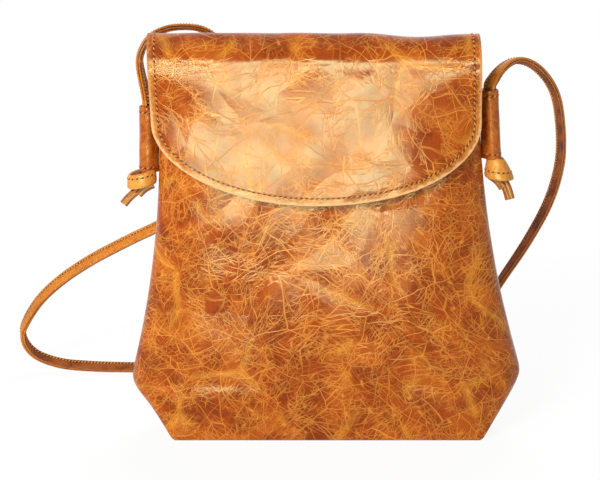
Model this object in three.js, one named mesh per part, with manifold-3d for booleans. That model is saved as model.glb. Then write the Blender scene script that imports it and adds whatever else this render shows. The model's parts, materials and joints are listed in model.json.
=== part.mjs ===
// Crossbody bag in waxed leather: a soft boxed pouch, a lined front flap, two side sleeves and one knotted strap.
// Millimetres, +Z up, front towards -Y, origin on the floor under the middle of the pouch.
import * as THREE from 'three';
import { mergeVertices } from 'three/addons/utils/BufferGeometryUtils.js';
import Module from 'manifold-3d';

// Pouch: outside sizes
const bagHeight = 250; // floor to the rim of the mouth
const cornerHalfWidth = 131.5; // where the side lines would cross at the boxed corners
const cornerHeight = 40; // height of the boxed corners above the floor
const cornerSoftness = 5; // how much the corner points are rounded off
const baseHalfLength = 102.5;
const baseHalfDepth = 27;
const baseEdgeRadius = 3;
const mouthHalfWidth = 103.4;
const mouthHalfDepth = 12;
const bellyHalfDepth = 31;
const bellyHeight = 55;
const topLean = 7; // the slack pouch leans this far to -X at the rim
const seamHalfThickness = 1.5; // turned leather on each side of a side seam

// Pouch: shape of the curves
const sideTaper = 2.25; // how fast the sides draw in above the corners
const depthTaper = 1.65; // how late the belly draws in towards the mouth
const baseSquareness = 9; // plan of the pouch: higher is squarer
const bellySquareness = 3;
const mouthSquareness = 6;

// Materials by thickness, and the gap between touching layers
const leather = 2;
const facingLeather = 1.2;
const liningCloth = 0.8;
const gap = 0.3;

// Mouth facings and the slip pocket
const facingHeight = 28;
const pocketHalfWidth = 60;
const pocketHeight = 85;
const pocketDepth = 60; // its open edge below the rim

// Flap
const flapHalfWidth = 106.4;
const flapShift = -2; // the flap hangs this far off the middle line of the pouch
const flapFrontLength = 90; // from the rim down to the lowest point of the closed flap
const flapCurveHeight = 51; // height of the half ellipse that ends it
const flapLining = 1;
const flapRise = 18.5; // how far the fold rises over its springing line
const flapSpringing = 1; // springing line of the fold above the rim
const flapSideWrap = 11; // how far the side edges curve back round the pouch
const hingeLift = 5.3; // hinge line above the springing line
const hingeSetBack = 0.4; // hinge line behind the sewn strip
const anchorHalfWidth = 97;
const anchorLength = 28; // sewn end on the back, below the rim
const anchorCornerRise = 9;

// Hidden magnetic snap under the flap
const snapRadius = 9;
const snapAboveFlapBottom = 18;
const socketHeight = 2.2;
const socketRecessDepth = 1.6;
const studRadius = 3.6;
const studPlate = 1.2;
const studHeight = 1.2;
const studClearance = 1;
const snapEdge = 0.4;

// Sleeves: leather strips wrapped round the strap and sewn into the side seams
const sleeveHalfWidth = 5.4;
const sleeveHalfDepth = 6.2;
const sleeveWall = 1;
const sleeveTab = 1.8; // flat sewn edge between the tube and the seam
const sleeveTabHalfThickness = 1.2;
const leftSleeveDepth = 71.6; // foot of the sleeve below the rim
const leftSleeveLength = 43;
const rightSleeveDepth = 62.7;
const rightSleeveLength = 45;

// Strap and its end knots
const strapWidth = 8;
const strapThickness = 4;
const strapEdgeRound = 0.9;
const strapWayOut = 3;
const strapDrawnHeight = 250; // height of the bag that the strap's route is drawn for
const knotHeight = 13;
const knotTopRadius = 5.6;
const knotRadius = 9.1;
const knotBandHeight = 5;
const knotBandProud = 0.5;
const knotEdgeRound = 1;
const leftTailLength = 16.5;
const rightTailLength = 17.5;
const knotTailWidth = 8;
const knotTailThickness = 4.4;
const leftTailSpread = 1.3; // slope of the tail away from the bag
const rightTailSpread = 0.5;
const knotTailForward = 0.25;

// Counts of facets
const frontColumns = 20;
const sideColumns = 2;
const cornerRows = 4;
const wallRows = 10;
const flapColumns = 18;
const foldRows = 8;
const flapRows = 8;
const anchorRows = 6;
const roundFacets = 20;

// Heights that follow the rim
const pocketTop = bagHeight - pocketDepth;
const flapBottom = bagHeight - flapFrontLength;
const anchorBottom = bagHeight - anchorLength;
const leftSleeveBottom = bagHeight - leftSleeveDepth;
const rightSleeveBottom = bagHeight - rightSleeveDepth;

const wasm = await Module();
wasm.setup();

const lerp = THREE.MathUtils.lerp;
const clamp = THREE.MathUtils.clamp;
const softMin = (a, b, round) => 0.5 * (a + b - Math.hypot(a - b, round));
const easeBetween = (value, low, high) => THREE.MathUtils.smoothstep(value, low, high);
const steps = (count) => Array.from({ length: count + 1 }, (_, index) => index / count);

// A closed solid from points and triangles, with flat triangles left out and faces turned outwards.
function solidFrom(points, triangles) {
  const soup = new THREE.BufferGeometry();
  soup.setAttribute('position', new THREE.Float32BufferAttribute(points.flatMap((p) => [p.x, p.y, p.z]), 3));
  soup.setIndex(triangles.flat());
  const merged = mergeVertices(soup, 1e-3);
  const index = merged.getIndex().array;
  const at = (i) => new THREE.Vector3().fromBufferAttribute(merged.getAttribute('position'), i);
  const kept = [];
  let volume = 0;
  for (let i = 0; i < index.length; i += 3) {
    const [a, b, c] = [index[i], index[i + 1], index[i + 2]];
    if (a === b || b === c || c === a) continue;
    kept.push([a, b, c]);
    volume += at(a).dot(at(b).cross(at(c)));
  }
  merged.setIndex(kept.flatMap(([a, b, c]) => (volume > 0 ? [a, b, c] : [a, c, b])));
  merged.computeVertexNormals();
  return merged;
}

// A sheet with thickness, from two grids of points that share their rows and columns.
function sheetSolid(outer, inner) {
  const rows = outer.length;
  const columns = outer[0].length;
  const at = (layer, row, column) => (layer * rows + row) * columns + column;
  const triangles = [];
  const quad = (a, b, c, d) => triangles.push([a, b, c], [a, c, d]);
  for (let row = 0; row < rows - 1; row += 1) {
    for (let column = 0; column < columns - 1; column += 1) {
      const [next, right] = [row + 1, column + 1];
      quad(at(0, row, column), at(0, row, right), at(0, next, right), at(0, next, column));
      quad(at(1, row, column), at(1, next, column), at(1, next, right), at(1, row, right));
    }
  }
  const rim = [];
  for (let column = 0; column < columns - 1; column += 1) rim.push([0, column]);
  for (let row = 0; row < rows - 1; row += 1) rim.push([row, columns - 1]);
  for (let column = columns - 1; column > 0; column -= 1) rim.push([rows - 1, column]);
  for (let row = rows - 1; row > 0; row -= 1) rim.push([row, 0]);
  rim.forEach(([row, column], index) => {
    const [nextRow, nextColumn] = rim[(index + 1) % rim.length];
    quad(at(0, row, column), at(1, row, column), at(1, nextRow, nextColumn), at(0, nextRow, nextColumn));
  });
  return solidFrom([...outer.flat(), ...inner.flat()], triangles);
}

// A solid swept through rings of equal count, closed at both ends.
function sweptSolid(rings) {
  const count = rings[0].length;
  const points = rings.flat();
  const triangles = [];
  for (let ring = 0; ring < rings.length - 1; ring += 1) {
    for (let side = 0; side < count; side += 1) {
      const next = (side + 1) % count;
      const [a, b] = [ring * count + side, ring * count + next];
      triangles.push([a, b, b + count], [a, b + count, a + count]);
    }
  }
  const last = (rings.length - 1) * count;
  for (let side = 1; side < count - 1; side += 1) {
    triangles.push([0, side + 1, side], [last, last + side, last + side + 1]);
  }
  return solidFrom(points, triangles);
}

// Joins overlapping closed shapes into one body.
function joined(geometries) {
  const solids = geometries.map((geometry) => {
    const bare = geometry.clone();
    bare.deleteAttribute('normal');
    bare.deleteAttribute('uv');
    const merged = mergeVertices(bare, 1e-3);
    return new wasm.Manifold(new wasm.Mesh({
      numProp: 3,
      vertProperties: new Float32Array(merged.getAttribute('position').array),
      triVerts: new Uint32Array(merged.getIndex().array),
    }));
  });
  const mesh = solids.reduce((whole, solid) => whole.add(solid)).getMesh();
  const result = new THREE.BufferGeometry();
  result.setAttribute('position', new THREE.Float32BufferAttribute(mesh.vertProperties, 3));
  result.setIndex(Array.from(mesh.triVerts));
  result.computeVertexNormals();
  return result;
}

// Shape of the pouch at a height: its lean, half width, half depth, boxed side and squareness in plan
const lean = (z) => -topLean * Math.max(0, z - cornerHeight) / (bagHeight - cornerHeight);

function halfWidth(z) {
  const boxed = lerp(baseHalfLength, cornerHalfWidth, z / cornerHeight);
  const rise = clamp((z - cornerHeight) / (bagHeight - cornerHeight), -1, 1);
  const wall = mouthHalfWidth + (cornerHalfWidth - mouthHalfWidth) * (1 - rise) ** sideTaper;
  return softMin(boxed, wall, cornerSoftness);
}

function halfDepth(z) {
  if (z < bellyHeight) {
    return lerp(baseHalfDepth, bellyHalfDepth, Math.sin((Math.PI / 2) * (z / bellyHeight)));
  }
  const rise = Math.min(1, (z - bellyHeight) / (bagHeight - bellyHeight));
  return lerp(bellyHalfDepth, mouthHalfDepth, rise ** depthTaper);
}

function squareness(z) {
  if (z < cornerHeight) return lerp(baseSquareness, bellySquareness, z / cornerHeight);
  const rise = Math.min(1, (z - cornerHeight) / (bagHeight - cornerHeight));
  return lerp(bellySquareness, mouthSquareness, rise ** 2);
}

// Half depth of the boxed side: the full base depth at the floor, only the seam above the corner.
function sideDepth(z, inset) {
  const boxed = baseHalfDepth * (1 - z / cornerHeight) - inset;
  return Math.max(boxed, inset > 0 ? seamHalfThickness / 2 : seamHalfThickness);
}

// Distance of the wall from the middle plane, at x from the leaning middle line.
function wallDepth(x, z, inset) {
  const side = sideDepth(z, inset);
  const share = Math.min(1, Math.abs(x) / (halfWidth(z) - inset));
  const bulge = Math.sqrt(1 - share ** squareness(z));
  return side + (halfDepth(z) - inset - side) * bulge;
}

// Rounding of the base edge: how far the wall stands in at a height.
function edgeInset(z) {
  const below = Math.max(0, baseEdgeRadius - z);
  return baseEdgeRadius - Math.sqrt(baseEdgeRadius ** 2 - below ** 2);
}

// One half of the pouch at a height, from seam to seam, in a skin that lies `inset` within the outside.
function wallRow(z, inset, facing) {
  const inward = inset + edgeInset(z);
  const width = halfWidth(z) - inward;
  const side = Math.min(sideDepth(z, inset), halfDepth(z) - inward);
  const height = inset + (z * (bagHeight - inset)) / bagHeight;
  const plan = [];
  steps(sideColumns).forEach((t) => plan.push([width, lerp(gap / 2, side, t)]));
  steps(frontColumns).slice(1, -1).forEach((t) => {
    const share = Math.cos(Math.PI * t);
    const bulge = Math.sqrt(1 - Math.abs(share) ** squareness(z));
    plan.push([width * share, side + (halfDepth(z) - inward - side) * bulge]);
  });
  steps(sideColumns).forEach((t) => plan.push([-width, lerp(side, gap / 2, t)]));
  return plan.map(([x, depth]) => new THREE.Vector3(x + lean(height), facing * depth, height));
}

// Half of the base, from the bottom seam out to the foot of the wall.
function baseRows(inset, facing) {
  const foot = wallRow(0, inset, facing);
  const reach = foot[0].x;
  const seam = foot.map((point, index) => {
    const along = lerp(reach, -reach, index / (foot.length - 1));
    return new THREE.Vector3(along, (facing * gap) / 2, point.z);
  });
  return [seam, seam.map((point, index) => point.clone().lerp(foot[index], 0.5))];
}

function wallHeights(low, high) {
  const corner = [0, 0.3 * baseEdgeRadius, ...steps(cornerRows).map((t) => lerp(baseEdgeRadius, cornerHeight, t))];
  const wall = steps(wallRows).slice(1).map((t) => lerp(cornerHeight, bagHeight, t));
  const between = [...corner, ...wall].filter((z) => z > low + gap && z < high - gap);
  return [low, ...between, high];
}

// A skin of the pouch from the bottom seam up to a height.
function pouchSkin(inset, thickness, top, facing) {
  const rows = (depth) => [
    ...baseRows(depth, facing),
    ...wallHeights(0, top).map((z) => wallRow(z, depth, facing)),
  ];
  return sheetSolid(rows(inset), rows(inset + thickness));
}

// A band inside the mouth that the lining is sewn to.
function mouthFacing(facing) {
  const heights = wallHeights(bagHeight - facingHeight, bagHeight);
  const rows = (depth) => heights.map((z) => wallRow(z, depth, facing));
  return sheetSolid(rows(leather + gap), rows(leather + gap + facingLeather));
}

// A slip pocket on the back lining, open at its top edge.
function slipPocket() {
  const against = leather + gap + liningCloth + gap;
  const rows = (inset) => steps(8).map((up) => {
    const z = pocketTop - pocketHeight * (1 - up);
    return steps(12).map((across) => {
      const x = lerp(-pocketHalfWidth, pocketHalfWidth, across);
      return new THREE.Vector3(x + lean(z), wallDepth(x, z, inset), z);
    });
  });
  return sheetSolid(rows(against), rows(against + liningCloth));
}

// Section of the flap: a fold over the mouth, from the hinge line to the front, then a sheet down the front
const flapStack = leather + gap + flapLining;
const snapStack = gap + socketHeight + gap + studPlate + gap;
const flapStandOff = snapStack + gap;
const foldBase = bagHeight + flapSpringing;
const foldStart = Math.asin(hingeLift / flapRise);
const foldFront = mouthHalfDepth + flapStandOff + flapStack;
const hingeY = mouthHalfDepth + gap + leather + hingeSetBack;
const hingeZ = foldBase + hingeLift - gap;
const foldHalfSpan = (hingeY + foldFront) / (1 + Math.cos(foldStart));
const foldMiddle = foldHalfSpan - foldFront;

const flapEdge = (across) => flapBottom + flapCurveHeight * (1 - Math.sqrt(1 - across ** 2));

function foldPoint(across, turn, depth) {
  const angle = lerp(foldStart, Math.PI, turn);
  const y = foldMiddle + (foldHalfSpan - depth) * Math.cos(angle);
  const z = foldBase + (flapRise - depth) * Math.sin(angle);
  return new THREE.Vector3(flapHalfWidth * across + lean(z) + flapShift, y, z);
}

function flapFrontPoint(across, down, depth) {
  const z = lerp(foldBase, flapEdge(across), down);
  const straightEnd = flapBottom + flapCurveHeight;
  const wrap = flapSideWrap * Math.abs(across) ** 3 * easeBetween(foldBase - z, 0, foldBase - straightEnd);
  const y = depth + wrap - (halfDepth(z) + flapStandOff + flapStack);
  return new THREE.Vector3(flapHalfWidth * across + lean(z) + flapShift, y, z);
}

function flapSkin(depth, thickness) {
  const columns = steps(flapColumns).map((t) => -Math.cos(Math.PI * t));
  const rows = (level) => [
    ...steps(foldRows).map((turn) => columns.map((across) => foldPoint(across, turn, level))),
    ...steps(flapRows).slice(1).map((down) => columns.map((across) => flapFrontPoint(across, down, level))),
  ];
  return sheetSolid(rows(depth), rows(depth + thickness));
}

// The end of the flap's leather that is sewn flat on the back, straight along its top below the hinge line.
function flapAnchor() {
  const top = foldBase + (flapRise - flapStack) * Math.sin(foldStart) - gap;
  const straight = mouthHalfDepth + gap;
  const rows = (thickness) => steps(anchorRows).map((up) => steps(flapColumns).map((t) => {
    const across = -Math.cos(Math.PI * t);
    const bottom = anchorBottom + anchorCornerRise * across ** 8;
    const z = lerp(bottom, top, up);
    const x = anchorHalfWidth * across + flapShift;
    const on = wallDepth(x, Math.min(z, bagHeight), 0) + gap;
    const free = easeBetween(z, bagHeight - facingHeight / 2, bagHeight);
    return new THREE.Vector3(x + lean(z), on + free * Math.max(0, straight - on) + thickness, z);
  }));
  return sheetSolid(rows(leather), rows(0));
}

// The snap sits square to the front panel, on its leaning middle line
const snapHeight = flapBottom + snapAboveFlapBottom;
const frontSlope = (halfDepth(snapHeight + gap) - halfDepth(snapHeight - gap)) / (2 * gap);
const snapAxis = new THREE.Vector3(0, -1, -frontSlope).normalize();

function turned(profile) {
  return new THREE.LatheGeometry(profile.map(([r, h]) => new THREE.Vector2(r, h)), roundFacets);
}

function snapSocket() {
  const recess = studRadius + studClearance;
  const floor = socketHeight - socketRecessDepth;
  return turned([
    [0, 0], [snapRadius, 0], [snapRadius, socketHeight - snapEdge], [snapRadius - snapEdge, socketHeight],
    [recess, socketHeight], [recess, floor], [0, floor],
  ]);
}

function snapStud() {
  const tip = studPlate + studHeight;
  return turned([
    [0, 0], [snapRadius, 0], [snapRadius, studPlate - snapEdge], [snapRadius - snapEdge, studPlate],
    [studRadius, studPlate], [studRadius, tip - snapEdge], [studRadius - snapEdge, tip], [0, tip],
  ]);
}

// Places a turned piece with its foot at a distance out from the front panel, facing along or against the axis.
function placeSnap(mesh, out, sense) {
  const foot = new THREE.Vector3(lean(snapHeight), -halfDepth(snapHeight), snapHeight);
  mesh.position.copy(foot.addScaledVector(snapAxis, out));
  const axis = snapAxis.clone().multiplyScalar(sense);
  mesh.quaternion.setFromUnitVectors(new THREE.Vector3(0, 1, 0), axis);
}

// Middle of the sleeve's bore on one side of the bag, at a height.
function sleeveCentre(side, z) {
  const reach = halfWidth(z) + gap + sleeveTab + sleeveHalfWidth;
  return new THREE.Vector3(side * reach + lean(z), 0, z);
}

// A wrapped tube with its flat sewn edge towards the seam, drawn for the +X side and turned over for the other.
function sleeve(length) {
  const outline = new THREE.Shape();
  const meet = Math.asin(sleeveTabHalfThickness / sleeveHalfDepth);
  const tabEnd = -(sleeveHalfWidth + sleeveTab);
  outline.moveTo(tabEnd, sleeveTabHalfThickness);
  outline.lineTo(tabEnd, -sleeveTabHalfThickness);
  outline.absellipse(0, 0, sleeveHalfWidth, sleeveHalfDepth, Math.PI + meet, 3 * Math.PI - meet, false);
  outline.closePath();
  const bore = new THREE.Path();
  bore.absellipse(0, 0, sleeveHalfWidth - sleeveWall, sleeveHalfDepth - sleeveWall, 0, 2 * Math.PI, true);
  outline.holes.push(bore);
  return new THREE.ExtrudeGeometry(outline, { depth: length, bevelEnabled: false, curveSegments: roundFacets });
}

function placeSleeve(mesh, side, bottom, length) {
  const foot = sleeveCentre(side, bottom);
  const axis = sleeveCentre(side, bottom + length).sub(foot).normalize();
  mesh.position.copy(foot);
  const upright = new THREE.Quaternion().setFromUnitVectors(new THREE.Vector3(0, 0, 1), axis);
  const half = new THREE.Quaternion().setFromAxisAngle(new THREE.Vector3(0, 0, 1), side > 0 ? 0 : Math.PI);
  mesh.quaternion.copy(upright.multiply(half));
}

// Strap route from the left sleeve to the right one: each point, then the way its broad face looks.
// It arches over the back of the left corner, turns over as it falls behind, loops on the floor to the left,
// runs behind the base and rises in a free loop on the right.
const strapRoute = [
  [-123, 18, 246, 0.85, -0.5, -0.1],
  [-122.5, 38, 253, 0.85, -0.4, -0.35],
  [-118, 58, 258, 0.65, -0.3, -0.7],
  [-109, 70, 261, 0.3, -0.3, -0.9],
  [-98, 80, 261, 0, -0.25, -0.97],
  [-87, 88, 258.5, -0.25, -0.3, -0.92],
  [-77, 94, 251, -0.5, -0.45, -0.7],
  [-69, 98, 236, -0.34, -0.92, -0.2],
  [-66.5, 100, 210, 0.5, -0.86, 0],
  [-72, 102, 174, 0.95, 0.1, -0.3],
  [-88, 104, 140.5, 0.5, 0.8, -0.3],
  [-107, 106, 121, 0.3, 0.88, -0.35],
  [-141.5, 108, 102.5, 0.25, 0.88, -0.38],
  [-169.5, 110, 87, 0.3, 0.85, -0.4],
  [-191.5, 112, 71.5, 0.5, 0.75, -0.4],
  [-207.5, 114, 56, 0.7, 0.6, -0.35],
  [-218, 116, 40, 0.9, 0.4, -0.1],
  [-221.3, 117, 31, 0.97, 0.15, 0],
  [-220, 118, 22, 0.9, -0.1, 0.25],
  [-213, 120, 12.5, 0.7, -0.3, 0.55],
  [-196, 119, 6, 0.3, -0.5, 0.8],
  [-172.5, 116, 4.4, 0, -0.55, 0.83],
  [-140, 115, 3.8, 0, -0.45, 0.9],
  [-95, 116, 2.9, 0, -0.15, 1],
  [-40, 116, 2.7, 0, -0.1, 1],
  [15, 113.5, 2.7, 0, -0.1, 1],
  [55, 110, 5.3, -0.15, -0.1, 1],
  [84, 107, 16, -0.5, 0, 0.85],
  [107, 103.5, 40, -0.8, 0, 0.6],
  [126, 99, 75, -0.85, -0.2, 0.4],
  [143, 88, 108, -0.87, -0.35, 0.25],
  [155.5, 76, 140, -0.87, -0.45, 0.12],
  [160.5, 64, 171, -0.87, -0.5, 0],
  [157.5, 50, 202, -0.85, -0.48, -0.15],
  [151.5, 38, 223.5, -0.77, -0.43, -0.38],
  [142.5, 29.5, 237.5, -0.6, -0.4, -0.7],
  [132, 21.5, 246.3, -0.3, -0.33, -0.9],
  [123, 15.5, 248.9, 0.1, -0.2, -0.97],
  [115.5, 10, 246.8, 0.5, 0.15, -0.85],
  [110.3, 5.5, 243, 0.6, 0.45, -0.65],
  [107, 2.2, 239, 0.55, 0.75, -0.35],
];

// The strap runs straight through each bore and a little way out of its top.
function strapEnds(side, bottom, length, face) {
  const entry = (z) => [...sleeveCentre(side, z).toArray(), ...face];
  const top = bottom + length;
  return [bottom, top - strapWayOut, top, top + strapWayOut].map(entry);
}

function strapBand() {
  const left = strapEnds(-1, leftSleeveBottom, leftSleeveLength, [0.88, -0.47, 0]);
  const right = strapEnds(1, rightSleeveBottom, rightSleeveLength, [0.5, 0.85, 0]).reverse();
  const stretch = bagHeight / strapDrawnHeight;
  const free = strapRoute.map(([x, y, z, ...face]) => [x, y, z * stretch, ...face]);
  const route = [...left, ...free, ...right];
  const path = new THREE.CatmullRomCurve3(route.map(([x, y, z]) => new THREE.Vector3(x, y, z)));
  const faces = new THREE.CatmullRomCurve3(route.map((entry) => new THREE.Vector3(...entry.slice(3))));
  const [wide, thick] = [strapWidth / 2, strapThickness / 2];
  const section = [
    [wide, thick - strapEdgeRound], [wide - strapEdgeRound, thick],
    [strapEdgeRound - wide, thick], [-wide, thick - strapEdgeRound],
    [-wide, strapEdgeRound - thick], [strapEdgeRound - wide, -thick],
    [wide - strapEdgeRound, -thick], [wide, strapEdgeRound - thick],
  ];
  const rings = steps(2 * (route.length - 1)).map((t) => {
    const centre = path.getPoint(t);
    const along = path.getTangent(t);
    const across = along.clone().cross(faces.getPoint(t)).normalize();
    const out = across.clone().cross(along);
    return section.map(([w, h]) => centre.clone().addScaledVector(across, w).addScaledVector(out, h));
  });
  console.log(`strap length ${path.getLength().toFixed(0)} mm`);
  return sweptSolid(rings);
}

// A pulled-tight knot: a bell of leather under the sleeve, a band round its foot and the tail of the strap.
function knot(side, tailLength, tailSpread) {
  const foot = -knotHeight;
  const bell = turned([
    [0, foot], [0.5 * knotRadius, foot], [knotRadius - knotEdgeRound, foot + knotEdgeRound],
    [knotRadius, foot + knotBandHeight],
    [lerp(knotTopRadius, knotRadius, 0.55), 0.35 * foot], [knotTopRadius, -gap], [0, -gap],
  ]);
  const band = turned([
    [0, foot], [knotRadius - knotEdgeRound, foot], [knotRadius + knotBandProud, foot + 0.3 * knotBandHeight],
    [knotRadius + knotBandProud, foot + 0.7 * knotBandHeight],
    [knotRadius - knotEdgeRound, foot + knotBandHeight], [0, foot + knotBandHeight],
  ]);
  [bell, band].forEach((geometry) => geometry.rotateX(Math.PI / 2));
  const start = new THREE.Vector3(0, 0, foot + knotBandHeight / 2);
  const slope = new THREE.Vector3(side * tailSpread, -knotTailForward, -1).normalize();
  const across = new THREE.Vector3(1, 0, side * tailSpread).normalize();
  const out = across.clone().cross(slope);
  const ring = (distance, shrink) => {
    const centre = start.clone().addScaledVector(slope, distance);
    const [w, h] = [(knotTailWidth / 2) * shrink, (knotTailThickness / 2) * shrink];
    const corners = [[w, 0.5 * h], [0.6 * w, h], [0, 0.7 * h], [-0.6 * w, h], [-w, 0.5 * h]];
    const around = [...corners, ...corners.map(([u, v]) => [-u, -v])];
    return around.map(([u, v]) => centre.clone().addScaledVector(across, u).addScaledVector(out, v));
  };
  const tail = sweptSolid([ring(0, 0.8), ring(0.4 * tailLength, 0.85), ring(tailLength, 1)]);
  return joined([bell, band, tail]);
}

// Middle of a knot's top: under its sleeve, and clear of the wider pouch beside it.
function knotTop(side, bottom) {
  const foot = bottom - knotHeight;
  const reach = halfWidth(foot) + gap + knotRadius + knotBandProud;
  return new THREE.Vector3(side * reach + lean(foot), 0, bottom);
}

// Finishes
const waxedLeather = { color: 0xbb5f1c, roughness: 0.42, metalness: 0 };
const strapLeather = { color: 0xb96a26, roughness: 0.5, metalness: 0 };
const insideLeather = { color: 0x9a5a2a, roughness: 0.7, metalness: 0 };
const liningCotton = { color: 0xb59a72, roughness: 0.9, metalness: 0 };
const plainNickel = { color: 0xb8b4aa, roughness: 0.35, metalness: 1 };

const bag = new THREE.Group();

function addPiece(name, geometry, finish) {
  const mesh = new THREE.Mesh(geometry, new THREE.MeshStandardMaterial(finish));
  mesh.name = name;
  bag.add(mesh);
  return mesh;
}

const facingBottom = bagHeight - facingHeight;
const [front, back] = [-1, 1];
addPiece('front_panel', pouchSkin(0, leather, bagHeight, front), waxedLeather);
addPiece('back_panel', pouchSkin(0, leather, bagHeight, back), waxedLeather);
addPiece('front_facing', mouthFacing(front), insideLeather);
addPiece('back_facing', mouthFacing(back), insideLeather);
addPiece('front_lining', pouchSkin(leather + gap, liningCloth, facingBottom - gap, front), liningCotton);
addPiece('back_lining', pouchSkin(leather + gap, liningCloth, facingBottom - gap, back), liningCotton);
addPiece('slip_pocket', slipPocket(), liningCotton);

addPiece('flap_anchor', flapAnchor(), waxedLeather);
addPiece('flap_leather', flapSkin(0, leather), waxedLeather);
addPiece('flap_lining', flapSkin(leather + gap, flapLining), insideLeather);
placeSnap(addPiece('snap_socket', snapSocket(), plainNickel), gap, 1);
placeSnap(addPiece('snap_stud', snapStud(), plainNickel), snapStack - gap, -1);

const leftSleeve = addPiece('left_sleeve', sleeve(leftSleeveLength), strapLeather);
placeSleeve(leftSleeve, -1, leftSleeveBottom, leftSleeveLength);
const rightSleeve = addPiece('right_sleeve', sleeve(rightSleeveLength), strapLeather);
placeSleeve(rightSleeve, 1, rightSleeveBottom, rightSleeveLength);

addPiece('strap', strapBand(), strapLeather);
const leftKnot = addPiece('left_knot', knot(-1, leftTailLength, leftTailSpread), strapLeather);
leftKnot.position.copy(knotTop(-1, leftSleeveBottom));
const rightKnot = addPiece('right_knot', knot(1, rightTailLength, rightTailSpread), strapLeather);
rightKnot.position.copy(knotTop(1, rightSleeveBottom));

console.log(`hinge line at y ${hingeY.toFixed(2)}, z ${hingeZ.toFixed(2)} mm`);

export default bag;
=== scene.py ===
# %% [markdown]
# # A crossbody bag in waxed leather
# The bag is a soft boxed pouch with a lined flap, two side sleeves and one long strap that is knotted
# under each sleeve. The solids of the frame hold its sizes and its joint. This lesson dresses them: every
# soft solid gives way to a thin sheet with real edges, seams and stitches, and every finish is a
# procedural material.

# %% Load the frame
import json
import math
from functools import partial

import bmesh
import bpy
import numpy as np
from mathutils import Matrix, Vector, noise


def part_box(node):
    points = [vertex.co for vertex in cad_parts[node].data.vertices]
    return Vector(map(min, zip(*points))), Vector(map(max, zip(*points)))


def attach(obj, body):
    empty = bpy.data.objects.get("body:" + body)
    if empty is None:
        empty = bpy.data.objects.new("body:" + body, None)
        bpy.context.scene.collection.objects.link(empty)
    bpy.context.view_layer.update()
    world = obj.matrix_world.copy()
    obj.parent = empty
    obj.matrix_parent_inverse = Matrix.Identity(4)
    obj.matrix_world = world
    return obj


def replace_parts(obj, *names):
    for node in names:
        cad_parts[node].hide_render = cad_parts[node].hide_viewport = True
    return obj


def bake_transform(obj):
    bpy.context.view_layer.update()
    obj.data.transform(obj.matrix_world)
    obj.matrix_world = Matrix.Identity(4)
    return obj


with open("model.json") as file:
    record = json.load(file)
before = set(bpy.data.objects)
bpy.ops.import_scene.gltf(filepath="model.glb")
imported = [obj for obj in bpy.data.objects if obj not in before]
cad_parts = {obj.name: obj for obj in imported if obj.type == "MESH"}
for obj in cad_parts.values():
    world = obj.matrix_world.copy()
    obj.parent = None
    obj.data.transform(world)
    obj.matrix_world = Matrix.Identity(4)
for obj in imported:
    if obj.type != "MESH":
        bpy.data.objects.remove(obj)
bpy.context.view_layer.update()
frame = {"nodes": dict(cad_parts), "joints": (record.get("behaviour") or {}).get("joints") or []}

# %% [markdown]
# ## Camera
# The photograph looks at the front of the bag from a little above, through a long lens. The heights in
# the picture of the base edge, the corners and the fold give the tilt, and the size of a pixel at the bag
# gives the lens.

# %% Camera
IMAGE_WIDTH = 600  # pixels
PIXEL_SIZE = 0.00065  # metres that one pixel spans at the point looked at
LOOK_AT = Vector((-0.0183, -0.020, 0.137))
LOOK_DISTANCE = 1.25
LOOK_DOWN = math.radians(15)

camera = bpy.data.objects.new("photo_camera", bpy.data.cameras.new("photo_camera"))
camera.data.sensor_fit = "HORIZONTAL"
camera.data.lens = camera.data.sensor_width * LOOK_DISTANCE / (IMAGE_WIDTH * PIXEL_SIZE)
camera.location = LOOK_AT + LOOK_DISTANCE * Vector((0, -math.cos(LOOK_DOWN), math.sin(LOOK_DOWN)))
camera.rotation_euler = (math.pi / 2 - LOOK_DOWN, 0, 0)
bpy.context.scene.collection.objects.link(camera)
bpy.context.scene.camera = camera
print("lens", round(camera.data.lens, 1), "mm")

# %% [markdown]
# ## Laying a hide
# Every piece of this bag is a flat hide that was bent into place, so every piece starts here as a flat
# grid of faces. Each point of the grid is then moved to its place in space, and its spot on the flat hide
# is kept as a UV map called hide, in metres. Creases and grain follow that map, so they bend with the
# leather. The distance of a point from the cut edge of its sheet is kept too, because edges wear and
# carry stitches.

# %% A grid laid in space
WELD_DISTANCE = 1e-6


def flat_spots(places):
    """Spots on the flat hide, from the lengths measured along the rows and the columns."""
    across = np.linalg.norm(np.diff(places, axis=1), axis=2)
    along = np.linalg.norm(np.diff(places, axis=0), axis=2)
    across = np.pad(np.cumsum(across, axis=1), ((0, 0), (1, 0)))
    along = np.pad(np.cumsum(along, axis=0), ((1, 0), (0, 0)))
    middle = places.shape[1] // 2
    return np.stack([across - across[:, middle:middle + 1], along], axis=2)


def edge_distances(spots):
    """Distance of every spot from the outline of the flat sheet."""
    rim = np.concatenate([spots[0], spots[1:, -1], spots[-1, -2::-1], spots[-2:0:-1, 0]])
    step = np.roll(rim, -1, axis=0) - rim
    length = np.maximum((step ** 2).sum(axis=1), 1e-12)
    nearest = np.zeros(spots.shape[:2])
    for row, line in enumerate(spots):
        offset = line[:, None, :] - rim
        share = np.clip((offset * step).sum(axis=2) / length, 0, 1)
        nearest[row] = np.linalg.norm(offset - share[:, :, None] * step, axis=2).min(axis=1)
    return nearest


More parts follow.
